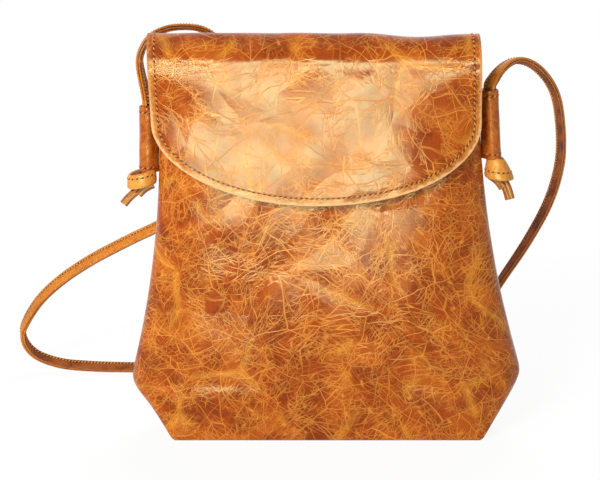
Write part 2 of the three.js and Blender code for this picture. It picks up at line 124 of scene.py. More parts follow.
def lay_rows(rows, spots=None, inside=None, weld=False):
    """A grid whose points lie along the rows. An open sheet turns its faces away from the point inside it."""
    places = np.array([[tuple(point) for point in row] for row in rows])
    spots = flat_spots(places) if spots is None else np.array(spots)
    distances = np.ones(spots.shape[:2]) if weld else edge_distances(spots)
    row_count, column_count = places.shape[:2]
    bm = bmesh.new()
    hide = bm.loops.layers.uv.new("hide")
    edge = bm.verts.layers.float.new("edge_distance")
    bmesh.ops.create_grid(bm, x_segments=column_count - 1, y_segments=row_count - 1, size=1)
    spot_of = {}
    for vert in bm.verts:
        column = round((vert.co.x + 1) / 2 * (column_count - 1))
        row = round((vert.co.y + 1) / 2 * (row_count - 1))
        vert.co = places[row, column]
        vert[edge] = distances[row, column]
        spot_of[vert] = spots[row, column]
    for face in bm.faces:
        for loop in face.loops:
            loop[hide].uv = spot_of[loop.vert]
    if weld:
        bmesh.ops.remove_doubles(bm, verts=bm.verts, dist=WELD_DISTANCE)
        bmesh.ops.holes_fill(bm, edges=[side for side in bm.edges if side.is_boundary], sides=0)
        bmesh.ops.recalc_face_normals(bm, faces=bm.faces)
        return bm
    bm.normal_update()
    outward = sum(face.normal.dot(face.calc_center_median() - inside) * face.calc_area() for face in bm.faces)
    if outward < 0:
        bmesh.ops.reverse_faces(bm, faces=bm.faces)
    return bm


# %% A grid made a piece
SHARP = math.radians(50)
ROUNDED = math.radians(60)  # the least angle of an edge that is rounded


def mesh_of(bm, name):
    """Makes a mesh of a bmesh, which is used up."""
    mesh = bpy.data.meshes.new(name)
    bm.to_mesh(mesh)
    bm.free()
    return mesh


def make_piece(name, bm, finishes):
    """An object at the origin, with its place in its mesh."""
    mesh = mesh_of(bm, name)
    for finish in finishes:
        mesh.materials.append(finish)
    mesh.shade_smooth()
    mesh.set_sharp_from_angle(angle=SHARP)
    piece = bpy.data.objects.new(name, mesh)
    bpy.context.scene.collection.objects.link(piece)
    print(name, len(mesh.polygons), "faces")
    return piece


def thicken(piece, thickness, edge_round):
    """Gives a sheet its thickness, inwards, with rounded edges, and makes that its mesh.
    The finishes of the piece are its grain side, its flesh side and its cut edge."""
    wall = piece.modifiers.new("thickness", "SOLIDIFY")
    wall.thickness = thickness
    wall.offset = -1
    wall.use_even_offset = True
    wall.material_offset = 1
    wall.material_offset_rim = 2
    rounding = piece.modifiers.new("edge", "BEVEL")
    rounding.width = edge_round
    rounding.segments = 2
    rounding.profile = 0.5
    rounding.limit_method = "ANGLE"
    rounding.angle_limit = ROUNDED
    depsgraph = bpy.context.evaluated_depsgraph_get()
    solid = bpy.data.meshes.new_from_object(
        piece.evaluated_get(depsgraph), preserve_all_data_layers=True, depsgraph=depsgraph
    )
    piece.modifiers.clear()
    piece.data = solid
    solid.shade_smooth()
    solid.set_sharp_from_angle(angle=SHARP)
    print("  thickened to", len(solid.polygons), "faces")
    return piece


def declare_sheet(piece):
    """Reads the spots of a sheet on the map of the hide. The size that it was cut to is that of its grain
    side there.
    """
    spots = np.empty(2 * len(piece.data.loops), dtype=np.float32)
    piece.data.uv_layers["hide"].uv.foreach_get("vector", spots)
    spots = spots.reshape(-1, 2)


# %% [markdown]
# ## Finishes
# A finish is a tree of nodes around one shader. The two small classes below only shorten the writing:
# each call adds a node and hands back the socket that the next call needs. Sizes are in metres, as on the
# map of the hide.

# %% A finish and its nodes


class Nodes:
    def __init__(self, tree):
        self.tree = tree

    def node(self, kind, inputs, **settings):
        node = self.tree.nodes.new(kind)
        for setting, value in settings.items():
            setattr(node, setting, value)
        for socket, value in inputs.items():
            if isinstance(value, bpy.types.NodeSocket):
                self.tree.links.new(value, node.inputs[socket])
            else:
                node.inputs[socket].default_value = value
        return node

    def math(self, operation, first, second=0.0):
        return self.node("ShaderNodeMath", {0: first, 1: second}, operation=operation).outputs[0]

    def plus(self, first, second):
        return self.math("ADD", first, second)

    def times(self, first, second):
        return self.math("MULTIPLY", first, second)

    def highest(self, first, *others):
        for other in others:
            first = self.math("MAXIMUM", first, other)
        return first


class Finish(Nodes):
    def __init__(self, name, **shader_values):
        self.material = bpy.data.materials.new(name)
        self.material.use_nodes = True
        super().__init__(self.material.node_tree)
        self.shader = self.tree.nodes["Principled BSDF"]
        for socket, value in shader_values.items():
            self.shader.inputs[socket.replace("_", " ")].default_value = value

    def paint(self, socket, value):
        self.tree.links.new(value, self.shader.inputs[socket])

    def hide(self):
        return self.node("ShaderNodeUVMap", {}, uv_map="hide").outputs["UV"]

    def place(self):
        return self.node("ShaderNodeTexCoord", {}).outputs["Object"]

    def edge(self):
        return self.node("ShaderNodeAttribute", {}, attribute_name="edge_distance").outputs["Fac"]

    def cloud(self, spot, size, detail=2.0, roughness=0.5, flat=True):
        inputs = {"Vector": spot, "Scale": 1 / size, "Detail": detail, "Roughness": roughness}
        dimensions = "2D" if flat else "3D"
        return self.node("ShaderNodeTexNoise", inputs, noise_dimensions=dimensions)

    def shade(self, spot, size, detail=2.0, roughness=0.5, flat=True):
        return self.cloud(spot, size, detail, roughness, flat).outputs[0]

    def step(self, value, low, high, start=0.0, end=1.0):
        inputs = {0: value, 1: low, 2: high, 3: start, 4: end}
        return self.node("ShaderNodeMapRange", inputs, interpolation_type="SMOOTHSTEP").outputs[0]

    def vector(self, operation, inputs):
        return self.node("ShaderNodeVectorMath", inputs, operation=operation).outputs[0]

    def warp(self, spot, size, amount):
        """Moves each spot a little way."""
        wander = self.cloud(spot, size).outputs["Color"]
        centred = self.vector("SUBTRACT", {0: wander, 1: (0.5, 0.5, 0.5)})
        moved = self.vector("SCALE", {0: centred, "Scale": amount})
        return self.vector("ADD", {0: spot, 1: moved})

    def stretch(self, spot, along, across, turn, shift=0.0):
        """Turns a pattern and draws it out."""
        inputs = {"Vector": spot, "Location": (shift, shift, 0), "Rotation": (0, 0, turn)}
        inputs["Scale"] = (along, across, 1)
        return self.node("ShaderNodeMapping", inputs, vector_type="TEXTURE").outputs[0]

    def cell_edge(self, spot, cell):
        inputs = {"Vector": spot, "Scale": 1 / cell, "Randomness": 1.0}
        settings = {"feature": "DISTANCE_TO_EDGE", "voronoi_dimensions": "2D"}
        return self.node("ShaderNodeTexVoronoi", inputs, **settings).outputs["Distance"]

    def mix(self, factor, first, second):
        return self.node("ShaderNodeMix", {0: factor, 6: first, 7: second}, data_type="RGBA").outputs[2]

    def tones(self, value, low, high, first, second):
        """From one colour to another, as a value rises from low to high."""
        return self.mix(self.step(value, low, high), first, second)

    def bump(self, height, depth):
        inputs = {"Height": height, "Distance": depth}
        self.paint("Normal", self.node("ShaderNodeBump", inputs).outputs["Normal"])


def colour(red, green, blue):
    """A linear colour from the 0 to 255 values that a screen shows."""
    def linear(value):
        share = value / 255
        return share / 12.92 if share <= 0.04045 else ((share + 0.055) / 1.055) ** 2.4
    return (linear(red), linear(green), linear(blue), 1)


# %% [markdown]
# ## Waxed leather
# The hide was waxed hot and then crumpled, so the wax broke: dark, smooth islands lie between golden
# creases of many sizes. Cell patterns give lines that branch, as the edges of crumpled folds do. Many of
# them, each drawn out another way, cross each other, and the finer ones stop at the islands. Strands run
# beside the largest folds, where the wax is worn to yellow. The panes between those folds are tilted a
# little, so the gloss breaks up.

# %% Waxed leather
DARK_WAX = colour(124, 36, 2)
MID_WAX = colour(150, 54, 4)
WARM_WAX = colour(176, 82, 14)
CREASE_GOLD = colour(230, 152, 56)
NODE_GOLD = colour(230, 164, 50)
PALE_RIM = colour(222, 170, 120)
MARGIN_TAN = colour(204, 140, 64)
# painted shade: the dark of the needle holes, spread in a band along the stitch line of the flap
SEAM_PAINTED_SHADE = colour(104, 44, 12)
WAX_GLOSS = (0.92, 0.96, 0.50, 1)  # the wax warms what it mirrors
WAX_IOR = 1.36
GOLD_SHARE = 0.75  # how far a full crease takes the gold
TINT_SHARE = 0.5
FLAP_SEAM_INSET = 0.0047
FLAP_RIM_WIDTH = 0.0015  # of the pale, rubbed rim along its cut edge
PANE = 0.046  # size of the panes between the largest folds
STRAND_GAP = 0.0019
STRAND_WOBBLE = 2.4  # in strand gaps
GRAIN = 0.0009
RAGGED = 0.0007  # how far the rubbed rim of the flap strays
FLAP_WEAR = (0.075, 0.135)  # on the flat hide, where the rubbing of the rim sets in and where it is full
RIM_DRYNESS = 0.35
# heights of the panes, the swells, the grain and the creases, all in units of the relief
PANE_HEIGHT, SWELL_HEIGHT, GRAIN_HEIGHT, CREASE_DEPTH = 6.5, 0.7, 0.03, 0.2
PANE_FLAT = 0.4  # of a pane's size, where its slope ends
RELIEF = 0.00026
# cell, half width of a line, how far the cells are drawn out, their turn, a shift in the pattern, strength
LONG_CREASES = (
    (0.0250, 0.00038, 2.6, 0.6, 0.2, 0.9),
    (0.0210, 0.00036, 2.8, 2.4, 3.1, 0.9),
    (0.0140, 0.00036, 2.0, 1.2, 5.7, 0.85),
)
FINE_CREASES = (
    (0.0092, 0.00034, 1.8, -0.3, 8.3, 0.9),
    (0.0064, 0.00032, 1.8, 2.0, 11.3, 0.85),
    (0.0046, 0.00030, 1.6, 0.9, 14.9, 0.75),
    (0.0033, 0.00027, 1.5, 2.7, 17.1, 0.65),
)
STRANDS = (
    (0.0030, 0.00030, 7.0, 0.75, 21.4, 0.9),
    (0.0028, 0.00028, 7.0, 2.25, 25.2, 0.9),
    (0.0032, 0.00030, 6.0, -0.2, 29.8, 0.9),
)


def rub_rim(wax, spot, tone):
    """Rubs the cut edge of the flap pale and paints shade along the line of its needle holes. Gives the tone
    and the rubbed rim.
    """
    edge = wax.edge()
    ragged = wax.plus(edge, wax.step(wax.shade(spot, 0.0035, 3.0), 0.25, 0.75, -RAGGED, RAGGED))
    down = wax.node("ShaderNodeSeparateXYZ", {0: spot}).outputs["Y"]
    low = wax.step(down, *FLAP_WEAR, 0.25, 1.0)
    margin = wax.step(ragged, FLAP_RIM_WIDTH, FLAP_SEAM_INSET, 0.62, 0.0)
    tone = wax.mix(wax.times(margin, low), tone, MARGIN_TAN)
    rim = wax.step(ragged, FLAP_RIM_WIDTH - 0.0006, FLAP_RIM_WIDTH + 0.0004, 0.9, 0.0)
    tone = wax.mix(wax.times(rim, low), tone, PALE_RIM)
    # Painted shade: a narrow dark band along the stitch line, for the shade of the needle holes.
    seam = wax.math("ABSOLUTE", wax.math("SUBTRACT", edge, FLAP_SEAM_INSET))
    return wax.mix(wax.step(seam, 0.0002, 0.0011, 0.4, 0.0), tone, SEAM_PAINTED_SHADE), rim


def waxed_leather(name, worn_edge=False, tint=None, size=1.0, calm=0.0):
    """Waxed leather, with creases of the given size: 1 for a whole panel, less for a narrow strip.
    A calm piece has fewer of the fine ones."""
    wax = Finish(name, IOR=WAX_IOR, Specular_Tint=WAX_GLOSS)
    spot = wax.hide()
    loose = wax.warp(spot, 0.060 * size, 0.020 * size)
    bent = wax.warp(loose, 0.018 * size, 0.0030 * size)

    def network(cell, width, drawn, turn, shift, strength):
        """Branching lines that fade in and out."""
        laid = wax.stretch(bent, drawn * cell * size, cell * size, turn, shift)
        line = wax.step(wax.cell_edge(laid, 1.0), 0.0, width / (cell * size), strength, 0.0)
        return wax.times(line, wax.step(wax.shade(laid, 2.0, 1.0), 0.36, 0.60, 0.2, 1.0))

    def networks(table):
        return [network(*values) for values in table]

    def in_patches(lines, shift):
        """Lines that are found only here and there in the hide."""
        patch = wax.shade(wax.stretch(bent, size, size, 0.0, shift), 0.026, 1.0)
        return wax.times(lines, wax.step(patch, 0.50 + calm, 0.60 + calm))

    pane_edge = wax.cell_edge(loose, PANE * size)
    away = wax.times(pane_edge, PANE * size)
    wobble = wax.times(wax.shade(bent, 0.014 * size, 1.0), STRAND_WOBBLE)
    level = wax.plus(wax.math("DIVIDE", away, STRAND_GAP), wobble)
    beside = wax.step(away, 0.0, 0.008 * size, 0.75, 0.0)
    rows = wax.step(wax.math("PINGPONG", level, 0.5), 0.0, 0.14)
    worn = wax.step(wax.shade(spot, 0.045 * size, 1.0), 0.46, 0.64)
    bundle = wax.times(wax.math("SUBTRACT", 1.0, rows), wax.times(beside, worn))
    strands = [in_patches(lines, values[4]) for lines, values in zip(networks(STRANDS), STRANDS)]
    mesh = wax.step(wax.shade(bent, 0.016 * size), 0.37 + calm, 0.49 + calm)
    fine = wax.times(wax.highest(*networks(FINE_CREASES)), mesh)
    crease = wax.highest(*networks(LONG_CREASES), *strands, bundle, fine)
    grain = wax.shade(spot, GRAIN, 3.0, 0.65)
    tone = wax.tones(wax.shade(bent, 0.018 * size, 3.0), 0.38, 0.60, DARK_WAX, MID_WAX)
    tone = wax.mix(wax.step(wax.shade(bent, 0.026 * size), 0.48, 0.68, 0.0, 0.75), tone, WARM_WAX)
    tone = wax.mix(wax.step(grain, 0.42, 0.70, 0.0, 0.4), tone, WARM_WAX)
    rubbed = wax.times(wax.step(away, 0.0, 0.004 * size, 0.3, 0.0), worn)
    tone = wax.mix(rubbed, tone, NODE_GOLD)
    tone = wax.mix(wax.times(crease, GOLD_SHARE), tone, CREASE_GOLD)
    if tint:
        tone = wax.mix(TINT_SHARE, tone, tint)
    smoke = wax.step(wax.shade(spot, 0.024, 3.0), 0.36, 0.66, 0.13, 0.22)
    dull = wax.plus(wax.step(grain, 0.4, 0.7, 0.0, 0.08), wax.times(crease, 0.06))
    if worn_edge:
        tone, rim = rub_rim(wax, spot, tone)
        dull = wax.plus(dull, wax.times(rim, RIM_DRYNESS))
    wax.paint("Base Color", tone)
    wax.paint("Roughness", wax.plus(smoke, dull))
    pane = wax.times(wax.math("MINIMUM", pane_edge, PANE_FLAT), PANE_HEIGHT * size)
    swell = wax.plus(wax.times(wax.shade(spot, 0.022, 1.0), SWELL_HEIGHT), pane)
    height = wax.plus(swell, wax.times(grain, GRAIN_HEIGHT))
    wax.bump(wax.math("SUBTRACT", height, wax.times(crease, CREASE_DEPTH)), RELIEF)
    return wax.material


def flesh_side(name, tone, shadow):
    """The brushed inner side of a hide: short fibres with no gloss."""
    suede = Finish(name, Roughness=0.95, Sheen_Weight=0.25)
    spot = suede.hide()
    nap = suede.shade(suede.stretch(spot, 0.004, 0.0012, 0.5), 1.0, 4.0, 0.7)
    mottled = suede.tones(nap, 0.3, 0.7, shadow, tone)
    blotch = suede.step(suede.shade(spot, 0.022), 0.4, 0.7, 0.0, 0.3)
    suede.paint("Base Color", suede.mix(blotch, mottled, shadow))
    suede.bump(nap, 0.0003)
    return suede.material


def grainy(name, grain, dark, light, depth, **shader_values):
    """A plain stuff in two tones: the packed fibres of a cut edge, twisted thread or pressed grit.
    The grain is given by its size, its detail and its roughness."""
    stuff = Finish(name, **shader_values)
    speck = stuff.shade(stuff.place(), *grain, flat=False)
    stuff.paint("Base Color", stuff.tones(speck, 0.3, 0.7, dark, light))
    stuff.bump(speck, depth)
    return stuff.material


pouch_wax = waxed_leather("pouch_waxed_leather")
flap_wax = waxed_leather("flap_waxed_leather", worn_edge=True, calm=0.06)
sleeve_wax = waxed_leather("sleeve_waxed_leather", tint=colour(164, 72, 16), size=0.5)
flesh = flesh_side("leather_flesh_side", colour(176, 116, 66), colour(128, 76, 38))
fibres = {"grain": (0.0016, 4.0, 0.7), "dark": colour(162, 104, 62), "light": colour(206, 150, 100)}
raw_edge = grainy("leather_cut_edge", **fibres, depth=0.0003, Roughness=0.8)
print("leather finishes:", pouch_wax.name, flap_wax.name, sleeve_wax.name)

# %% [markdown]
# ## Shape of the pouch
# The pouch is sewn from two panels with boxed lower corners. Its plan is a long rounded box at the floor
# and a narrow rounded slot at the mouth, and the slack top leans a little to one side. A few formulas
# give the half width, the half depth and the squareness at any height. They are the ones that the solids
# were made from.

# %% Shape of the pouch
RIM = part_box("front_panel")[1].z
CORNER_HALF_WIDTH = 0.1315
CORNER_HEIGHT = 0.040
CORNER_SOFTNESS = 0.005
BASE_HALF_LENGTH = 0.1025
BASE_HALF_DEPTH = 0.027
BASE_EDGE_RADIUS = 0.003
MOUTH_HALF_WIDTH = 0.1034
MOUTH_HALF_DEPTH = 0.012
BELLY_HALF_DEPTH = 0.031
BELLY_HEIGHT = 0.055
TOP_LEAN = 0.007
WIDTH_CURVE, DEPTH_CURVE = 2.25, 1.65  # powers of the curves from the corner and the belly to the mouth
FLOOR_SQUARE, BELLY_SQUARE, MOUTH_SQUARE = 9, 3, 6  # powers of the rounded plan
SEAM_HALF = 0.0015
LEATHER = 0.002
GAP = 0.0003


def mixed(low, high, share):
    return low + (high - low) * share


def eased(value, low, high):
    share = min(1, max(0, (value - low) / (high - low)))
    return share * share * (3 - 2 * share)


def steps(count):
    return [index / count for index in range(count + 1)]


def wall_share(z):
    return min(1, max(-1, (z - CORNER_HEIGHT) / (RIM - CORNER_HEIGHT)))


def lean(z):
    return -TOP_LEAN * max(0, (z - CORNER_HEIGHT) / (RIM - CORNER_HEIGHT))


def half_width(z):
    boxed = mixed(BASE_HALF_LENGTH, CORNER_HALF_WIDTH, z / CORNER_HEIGHT)
    wall = mixed(MOUTH_HALF_WIDTH, CORNER_HALF_WIDTH, (1 - wall_share(z)) ** WIDTH_CURVE)
    return 0.5 * (boxed + wall - math.hypot(boxed - wall, CORNER_SOFTNESS))


def half_depth(z):
    if z < BELLY_HEIGHT:
        return mixed(BASE_HALF_DEPTH, BELLY_HALF_DEPTH, math.sin(math.pi / 2 * z / BELLY_HEIGHT))
    share = min(1, (z - BELLY_HEIGHT) / (RIM - BELLY_HEIGHT))
    return mixed(BELLY_HALF_DEPTH, MOUTH_HALF_DEPTH, share ** DEPTH_CURVE)


def squareness(z):
    if z < CORNER_HEIGHT:
        return mixed(FLOOR_SQUARE, BELLY_SQUARE, z / CORNER_HEIGHT)
    return mixed(BELLY_SQUARE, MOUTH_SQUARE, wall_share(z) ** 2)


def side_depth(z, inset):
    return max(BASE_HALF_DEPTH * (1 - z / CORNER_HEIGHT) - inset, SEAM_HALF / 2 if inset > 0 else SEAM_HALF)


def wall_depth(x, z, inset=0):
    side = side_depth(z, inset)
    share = min(1, abs(x) / (half_width(z) - inset))
    return side + (half_depth(z) - inset - side) * math.sqrt(1 - share ** squareness(z))


# %% [markdown]
# ## Pouch panels
# Each panel runs from the seam under the base, out to the foot, and up to the rim. Filled leather is
# never an even surface, so soft noise lets it swell and sink by about a millimetre, and fades at the
# floor and the seams.

# %% Pouch panels
FRONT, BACK = -1, 1
SIDE_COLUMNS = 6
FRONT_COLUMNS = 110
BASE_ROWS = 8
INSIDE_POUCH = Vector((0, 0, 0.12))
CORNER_SINK = Vector((-0.0015, 0, -0.0045))
SINK_REACH = 0.022
SWELL, RIPPLE = 0.0016, 0.0003
SLIVER = 0.0003
LEATHER_ROUND = 0.0005  # of a cut edge


def slack(x, z, facing):
    """How far the leather swells at a place on the wall."""
    still = eased(z, 0.004, 0.035) * eased(half_width(z) - abs(x), 0.0, 0.03)
    swell = SWELL * noise.noise(Vector((x * 16, z * 16, facing * 3)))
    ripple = RIPPLE * noise.noise(Vector((x * 45, z * 38, facing * 7)))
    return still * (swell + ripple)


def sunk_corner(point):
    """The left boxed corner has dropped a little and stands out further than the right one."""
    away = math.hypot(point.x + CORNER_HALF_WIDTH, 1.3 * (point.z - CORNER_HEIGHT))
    near = math.exp(-(away / SINK_REACH) ** 2) * eased(point.z, 0, 0.012)
    return point + near * CORNER_SINK


def wall_row(z, inset, facing):
    """Points of one panel at a height, from seam to seam, `inset` within the outside."""
    below = max(0, BASE_EDGE_RADIUS - z)
    inward = inset + BASE_EDGE_RADIUS - math.sqrt(BASE_EDGE_RADIUS ** 2 - below ** 2)
    width = half_width(z) - inward
    side = min(side_depth(z, inset), half_depth(z) - inward)
    height = inset + z * (RIM - inset) / RIM
    plan = [(width, mixed(GAP / 2, side, t)) for t in steps(SIDE_COLUMNS)]
    for t in steps(FRONT_COLUMNS)[1:-1]:
        share = math.cos(math.pi * t)
        bulge = math.sqrt(1 - abs(share) ** squareness(z))
        depth = side + (half_depth(z) - inward - side) * bulge
        plan.append((width * share, depth + bulge * slack(width * share, z, facing)))
    plan += [(-width, mixed(side, GAP / 2, t)) for t in steps(SIDE_COLUMNS)]
    return [sunk_corner(Vector((x + lean(height), facing * depth, height))) for x, depth in plan]


def base_rows(inset, facing):
    """Rows under the base, from the bottom seam to the foot of the wall."""
    foot = wall_row(0, inset, facing)
    reach = foot[0].x
    last = len(foot) - 1
    seam = [Vector((mixed(reach, -reach, i / last), facing * GAP / 2, p.z)) for i, p in enumerate(foot)]
    return [[a.lerp(b, t) for a, b in zip(seam, foot)] for t in steps(BASE_ROWS)[:-1]]


def wall_heights(low, high):
    edge = [BASE_EDGE_RADIUS * (1 - math.cos(math.pi / 2 * t)) for t in steps(6)]
    corner = [mixed(BASE_EDGE_RADIUS, CORNER_HEIGHT, t) for t in steps(20)[1:]]
    wall = [mixed(CORNER_HEIGHT, RIM, t) for t in steps(96)[1:]]
    between = [z for z in edge + corner + wall if low + GAP < z < high - GAP]
    return [low] + between + [high]


def pouch_skin(inset, top, facing):
    """A whole side of the pouch. Its base rows run together at the ends, and slivers there are closed."""
    walls = [wall_row(z, inset, facing) for z in wall_heights(0, top)]
    bm = lay_rows(base_rows(inset, facing) + walls, inside=INSIDE_POUCH)
    bmesh.ops.dissolve_degenerate(bm, dist=SLIVER, edges=bm.edges)
    return bm


for facing, name, node in ((FRONT, "front_hide", "front_panel"), (BACK, "back_hide", "back_panel")):
    panel = make_piece(name, pouch_skin(0, RIM, facing), [pouch_wax, flesh, raw_edge])
    thicken(panel, LEATHER, LEATHER_ROUND)
    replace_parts(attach(panel, "pouch"), node)

# %% [markdown]
# ## Strap
# The strap is one strip of two thin layers, glued back to back and sewn near one edge. It lies where the
# photograph shows it: up out of the left sleeve, over the corner and down behind, a loop on the floor to
# the left, along the floor behind the base and up in a free loop on the right. It turns over once, behind
# the bag, so that its waxed side is on the outside of each loop. A section is swept along one smooth
# curve through listed points, each with the way that the broad face looks there.

# %% Route of the strap
# millimetres, and the way that the broad face looks
ROUTE_MM = [
    (-123, 18, 246, 0.85, -0.5, -0.1),
    (-122.5, 38, 253, 0.85, -0.4, -0.35),
    (-118, 58, 258, 0.65, -0.3, -0.7),
    (-109, 70, 261, 0.3, -0.3, -0.9),
    (-98, 80, 261, 0, -0.25, -0.97),
    (-87, 88, 258.5, -0.25, -0.3, -0.92),
    (-77, 94, 251, -0.5, -0.45, -0.7),
    (-69, 98, 236, -0.34, -0.92, -0.2),
    (-66.5, 100, 210, 0.5, -0.86, 0),
    (-72, 102, 174, 0.95, 0.1, -0.3),
    (-88, 104, 140.5, 0.5, 0.8, -0.3),
    (-107, 106, 121, 0.3, 0.88, -0.35),
    (-141.5, 108, 102.5, 0.25, 0.88, -0.38),
    (-169.5, 110, 87, 0.3, 0.85, -0.4),
    (-191.5, 112, 71.5, 0.5, 0.75, -0.4),
    (-207.5, 114, 56, 0.7, 0.6, -0.35),
    (-218, 116, 40, 0.9, 0.4, -0.1),
    (-221.3, 117, 31, 0.97, 0.15, 0),
    (-220, 118, 22, 0.9, -0.1, 0.25),
    (-213, 120, 12.5, 0.7, -0.3, 0.55),
    (-196, 119, 6, 0.3, -0.5, 0.8),
    (-172.5, 116, 4.4, 0, -0.55, 0.83),
    (-140, 115, 3.8, 0, -0.45, 0.9),
    (-95, 116, 2.9, 0, -0.15, 1),
    (-40, 116, 2.7, 0, -0.1, 1),
    (15, 113.5, 2.7, 0, -0.1, 1),
    (55, 110, 5.3, -0.15, -0.1, 1),
    (84, 107, 16, -0.5, 0, 0.85),
    (107, 103.5, 40, -0.8, 0, 0.6),
    (126, 99, 75, -0.85, -0.2, 0.4),
    (143, 88, 108, -0.87, -0.35, 0.25),
    (155.5, 76, 140, -0.87, -0.45, 0.12),
    (160.5, 64, 171, -0.87, -0.5, 0),
    (157.5, 50, 202, -0.85, -0.48, -0.15),
    (151.5, 38, 223.5, -0.77, -0.43, -0.38),
    (142.5, 29.5, 237.5, -0.6, -0.4, -0.7),
    (132, 21.5, 246.3, -0.3, -0.33, -0.9),
    (123, 15.5, 248.9, 0.1, -0.2, -0.97),
    (115.5, 10, 246.8, 0.5, 0.15, -0.85),
    (110.3, 5.5, 243, 0.6, 0.45, -0.65),
    (107, 2.2, 239, 0.55, 0.75, -0.35),
]
MM = 0.001
LEFT, RIGHT = -1, 1
SLEEVE_HALF_WIDTH = 0.0054
SLEEVE_HALF_DEPTH = 0.0062
SLEEVE_WALL = 0.001
SLEEVE_TAB = 0.0018
SLEEVE_FOOT = {LEFT: RIM - 0.0716, RIGHT: RIM - 0.0627}
SLEEVE_LENGTH = {LEFT: 0.043, RIGHT: 0.045}
STRAP_FACE = {LEFT: (0.88, -0.47, 0), RIGHT: (0.5, 0.85, 0)}
STRAP_WAY_OUT = 0.003
POINTS_PER_SPAN = 12
RING_GAP = 0.0022


def sleeve_centre(side, z):
    return Vector((side * (half_width(z) + GAP + SLEEVE_TAB + SLEEVE_HALF_WIDTH) + lean(z), 0, z))


def strap_end(side):
    """The strap runs straight through the sleeve's bore and a little way out of its top."""
    foot, top = SLEEVE_FOOT[side], SLEEVE_FOOT[side] + SLEEVE_LENGTH[side]
    heights = (foot, top - STRAP_WAY_OUT, top, top + STRAP_WAY_OUT)
    return [(*sleeve_centre(side, z), *STRAP_FACE[side]) for z in heights]


free_route = [(x * MM, y * MM, z * MM, *face) for x, y, z, *face in ROUTE_MM]
strap_route = np.array(strap_end(LEFT) + free_route + strap_end(RIGHT)[::-1])


def smooth_route(points, per_span):
    """A centripetal curve through the points, which never loops or overshoots between them."""
    ends = (2 * points[:1] - points[1:2], 2 * points[-1:] - points[-2:-1])
    padded = np.concatenate([ends[0], points, ends[1]])
    curve = []
    for before, start, end, after in zip(padded, padded[1:], padded[2:], padded[3:]):
        first, span, last = (max(np.linalg.norm(b - a) ** 0.5, 1e-4)
                             for a, b in ((before, start), (start, end), (end, after)))
        leave = (start - before) / first - (end - before) / (first + span) + (end - start) / span
        arrive = (end - start) / span - (after - start) / (span + last) + (after - end) / last
        for t in steps(per_span)[:-1]:
            curve.append((2 * t ** 3 - 3 * t ** 2 + 1) * start + (t ** 3 - 2 * t ** 2 + t) * leave * span
                         + (3 * t ** 2 - 2 * t ** 3) * end + (t ** 3 - t ** 2) * arrive * span)
    return np.array(curve + [points[-1]])


def even_line(curve, spacing):
    """The same line with its points an equal way apart, and its length."""
    lengths = np.pad(np.cumsum(np.linalg.norm(np.diff(curve[:, :3], axis=0), axis=1)), (1, 0))
    stations = np.linspace(0, lengths[-1], max(2, round(lengths[-1] / spacing)))
    return np.stack([np.interp(stations, lengths, column) for column in curve.T], axis=1), lengths[-1]


places = smooth_route(strap_route[:, :3], POINTS_PER_SPAN)
faces = smooth_route(strap_route[:, 3:], POINTS_PER_SPAN)
strap_line, strap_length = even_line(np.hstack([places, faces]), RING_GAP)
print("strap", round(strap_length, 3), "m long,", len(strap_line), "rings")

# %% Strap section and sweep
STRAP_WIDTH = 0.008
STRAP_THICKNESS = 0.004
SEAM_INSET = 0.0019  # from the sewn edge of the strap to its stitches
INNER_LAYER = 0.0013  # height in the strap where its dark inner layer starts
SPLIT = 0.0003  # half height of the dark line where the layers meet


def strap_section():
    """Half sections of the two layers: a crowned face, a stitch channel by the sewn edge and a split edge."""
    wide, thick = STRAP_WIDTH / 2, STRAP_THICKNESS / 2
    channel = SEAM_INSET - wide
    half = [
        (wide - 0.0004, 0.0), (wide, 0.2 * thick), (wide, 0.6 * thick), (wide - 0.0005, 0.93 * thick),
        (wide - 0.0012, thick), (0.4 * wide, thick), (0.0, thick), (channel + 0.0010, 0.98 * thick),
        (channel + 0.0004, 0.86 * thick), (channel - 0.0004, 0.86 * thick), (channel - 0.0009, 0.97 * thick),
        (-wide + 0.0003, 0.85 * thick), (-wide, 0.55 * thick), (-wide, 0.2 * thick), (-wide + 0.0005, 0.0),
    ]
    other = [(across, -out) for across, out in half[-2:0:-1]]
    return np.array(half + other + half[:1])


def directions(line):
    """Along, across and out at each ring of a swept band."""
    along = np.gradient(line[:, :3], axis=0)
    along /= np.linalg.norm(along, axis=1, keepdims=True)
    across = np.cross(along, line[:, 3:])
    across /= np.linalg.norm(across, axis=1, keepdims=True)
    return along, across, np.cross(across, along)


def band_rows(line, section):
    """A section swept along a line."""
    _, across, out = directions(line)
    wide = section[None, :, :1] * across[:, None, :]
    thick = section[None, :, 1:] * out[:, None, :]
    return line[:, None, :3] + wide + thick


# %% [markdown]
# The strap's outer layer has the same waxed finish as the sleeves, rubbed paler by use, and the layer
# that turns inwards on each loop is a plain dark leather. So the two layers get two finishes.

# %% Strap finishes and piece


def dark_leather(name):
    plain = Finish(name, IOR=1.32)
    spot = plain.hide()
    grain = plain.shade(spot, 0.0012, 4.0, 0.6)
    pores = plain.step(plain.cell_edge(plain.warp(spot, 0.002, 0.0008), 0.0016), 0.0, 0.25)
    tone = plain.tones(plain.shade(spot, 0.012), 0.35, 0.65, colour(100, 46, 16), colour(146, 76, 24))
    tone = plain.mix(plain.step(grain, 0.45, 0.8, 0.0, 0.45), tone, colour(188, 114, 48))
    plain.paint("Base Color", tone)
    plain.paint("Roughness", plain.step(grain, 0.3, 0.7, 0.5, 0.68))
    plain.bump(plain.plus(pores, grain), 0.00012)
    return plain.material


strap_outer = waxed_leather("strap_waxed_leather", tint=colour(200, 122, 42), size=0.4)
strap_inner = dark_leather("strap_inner_leather")

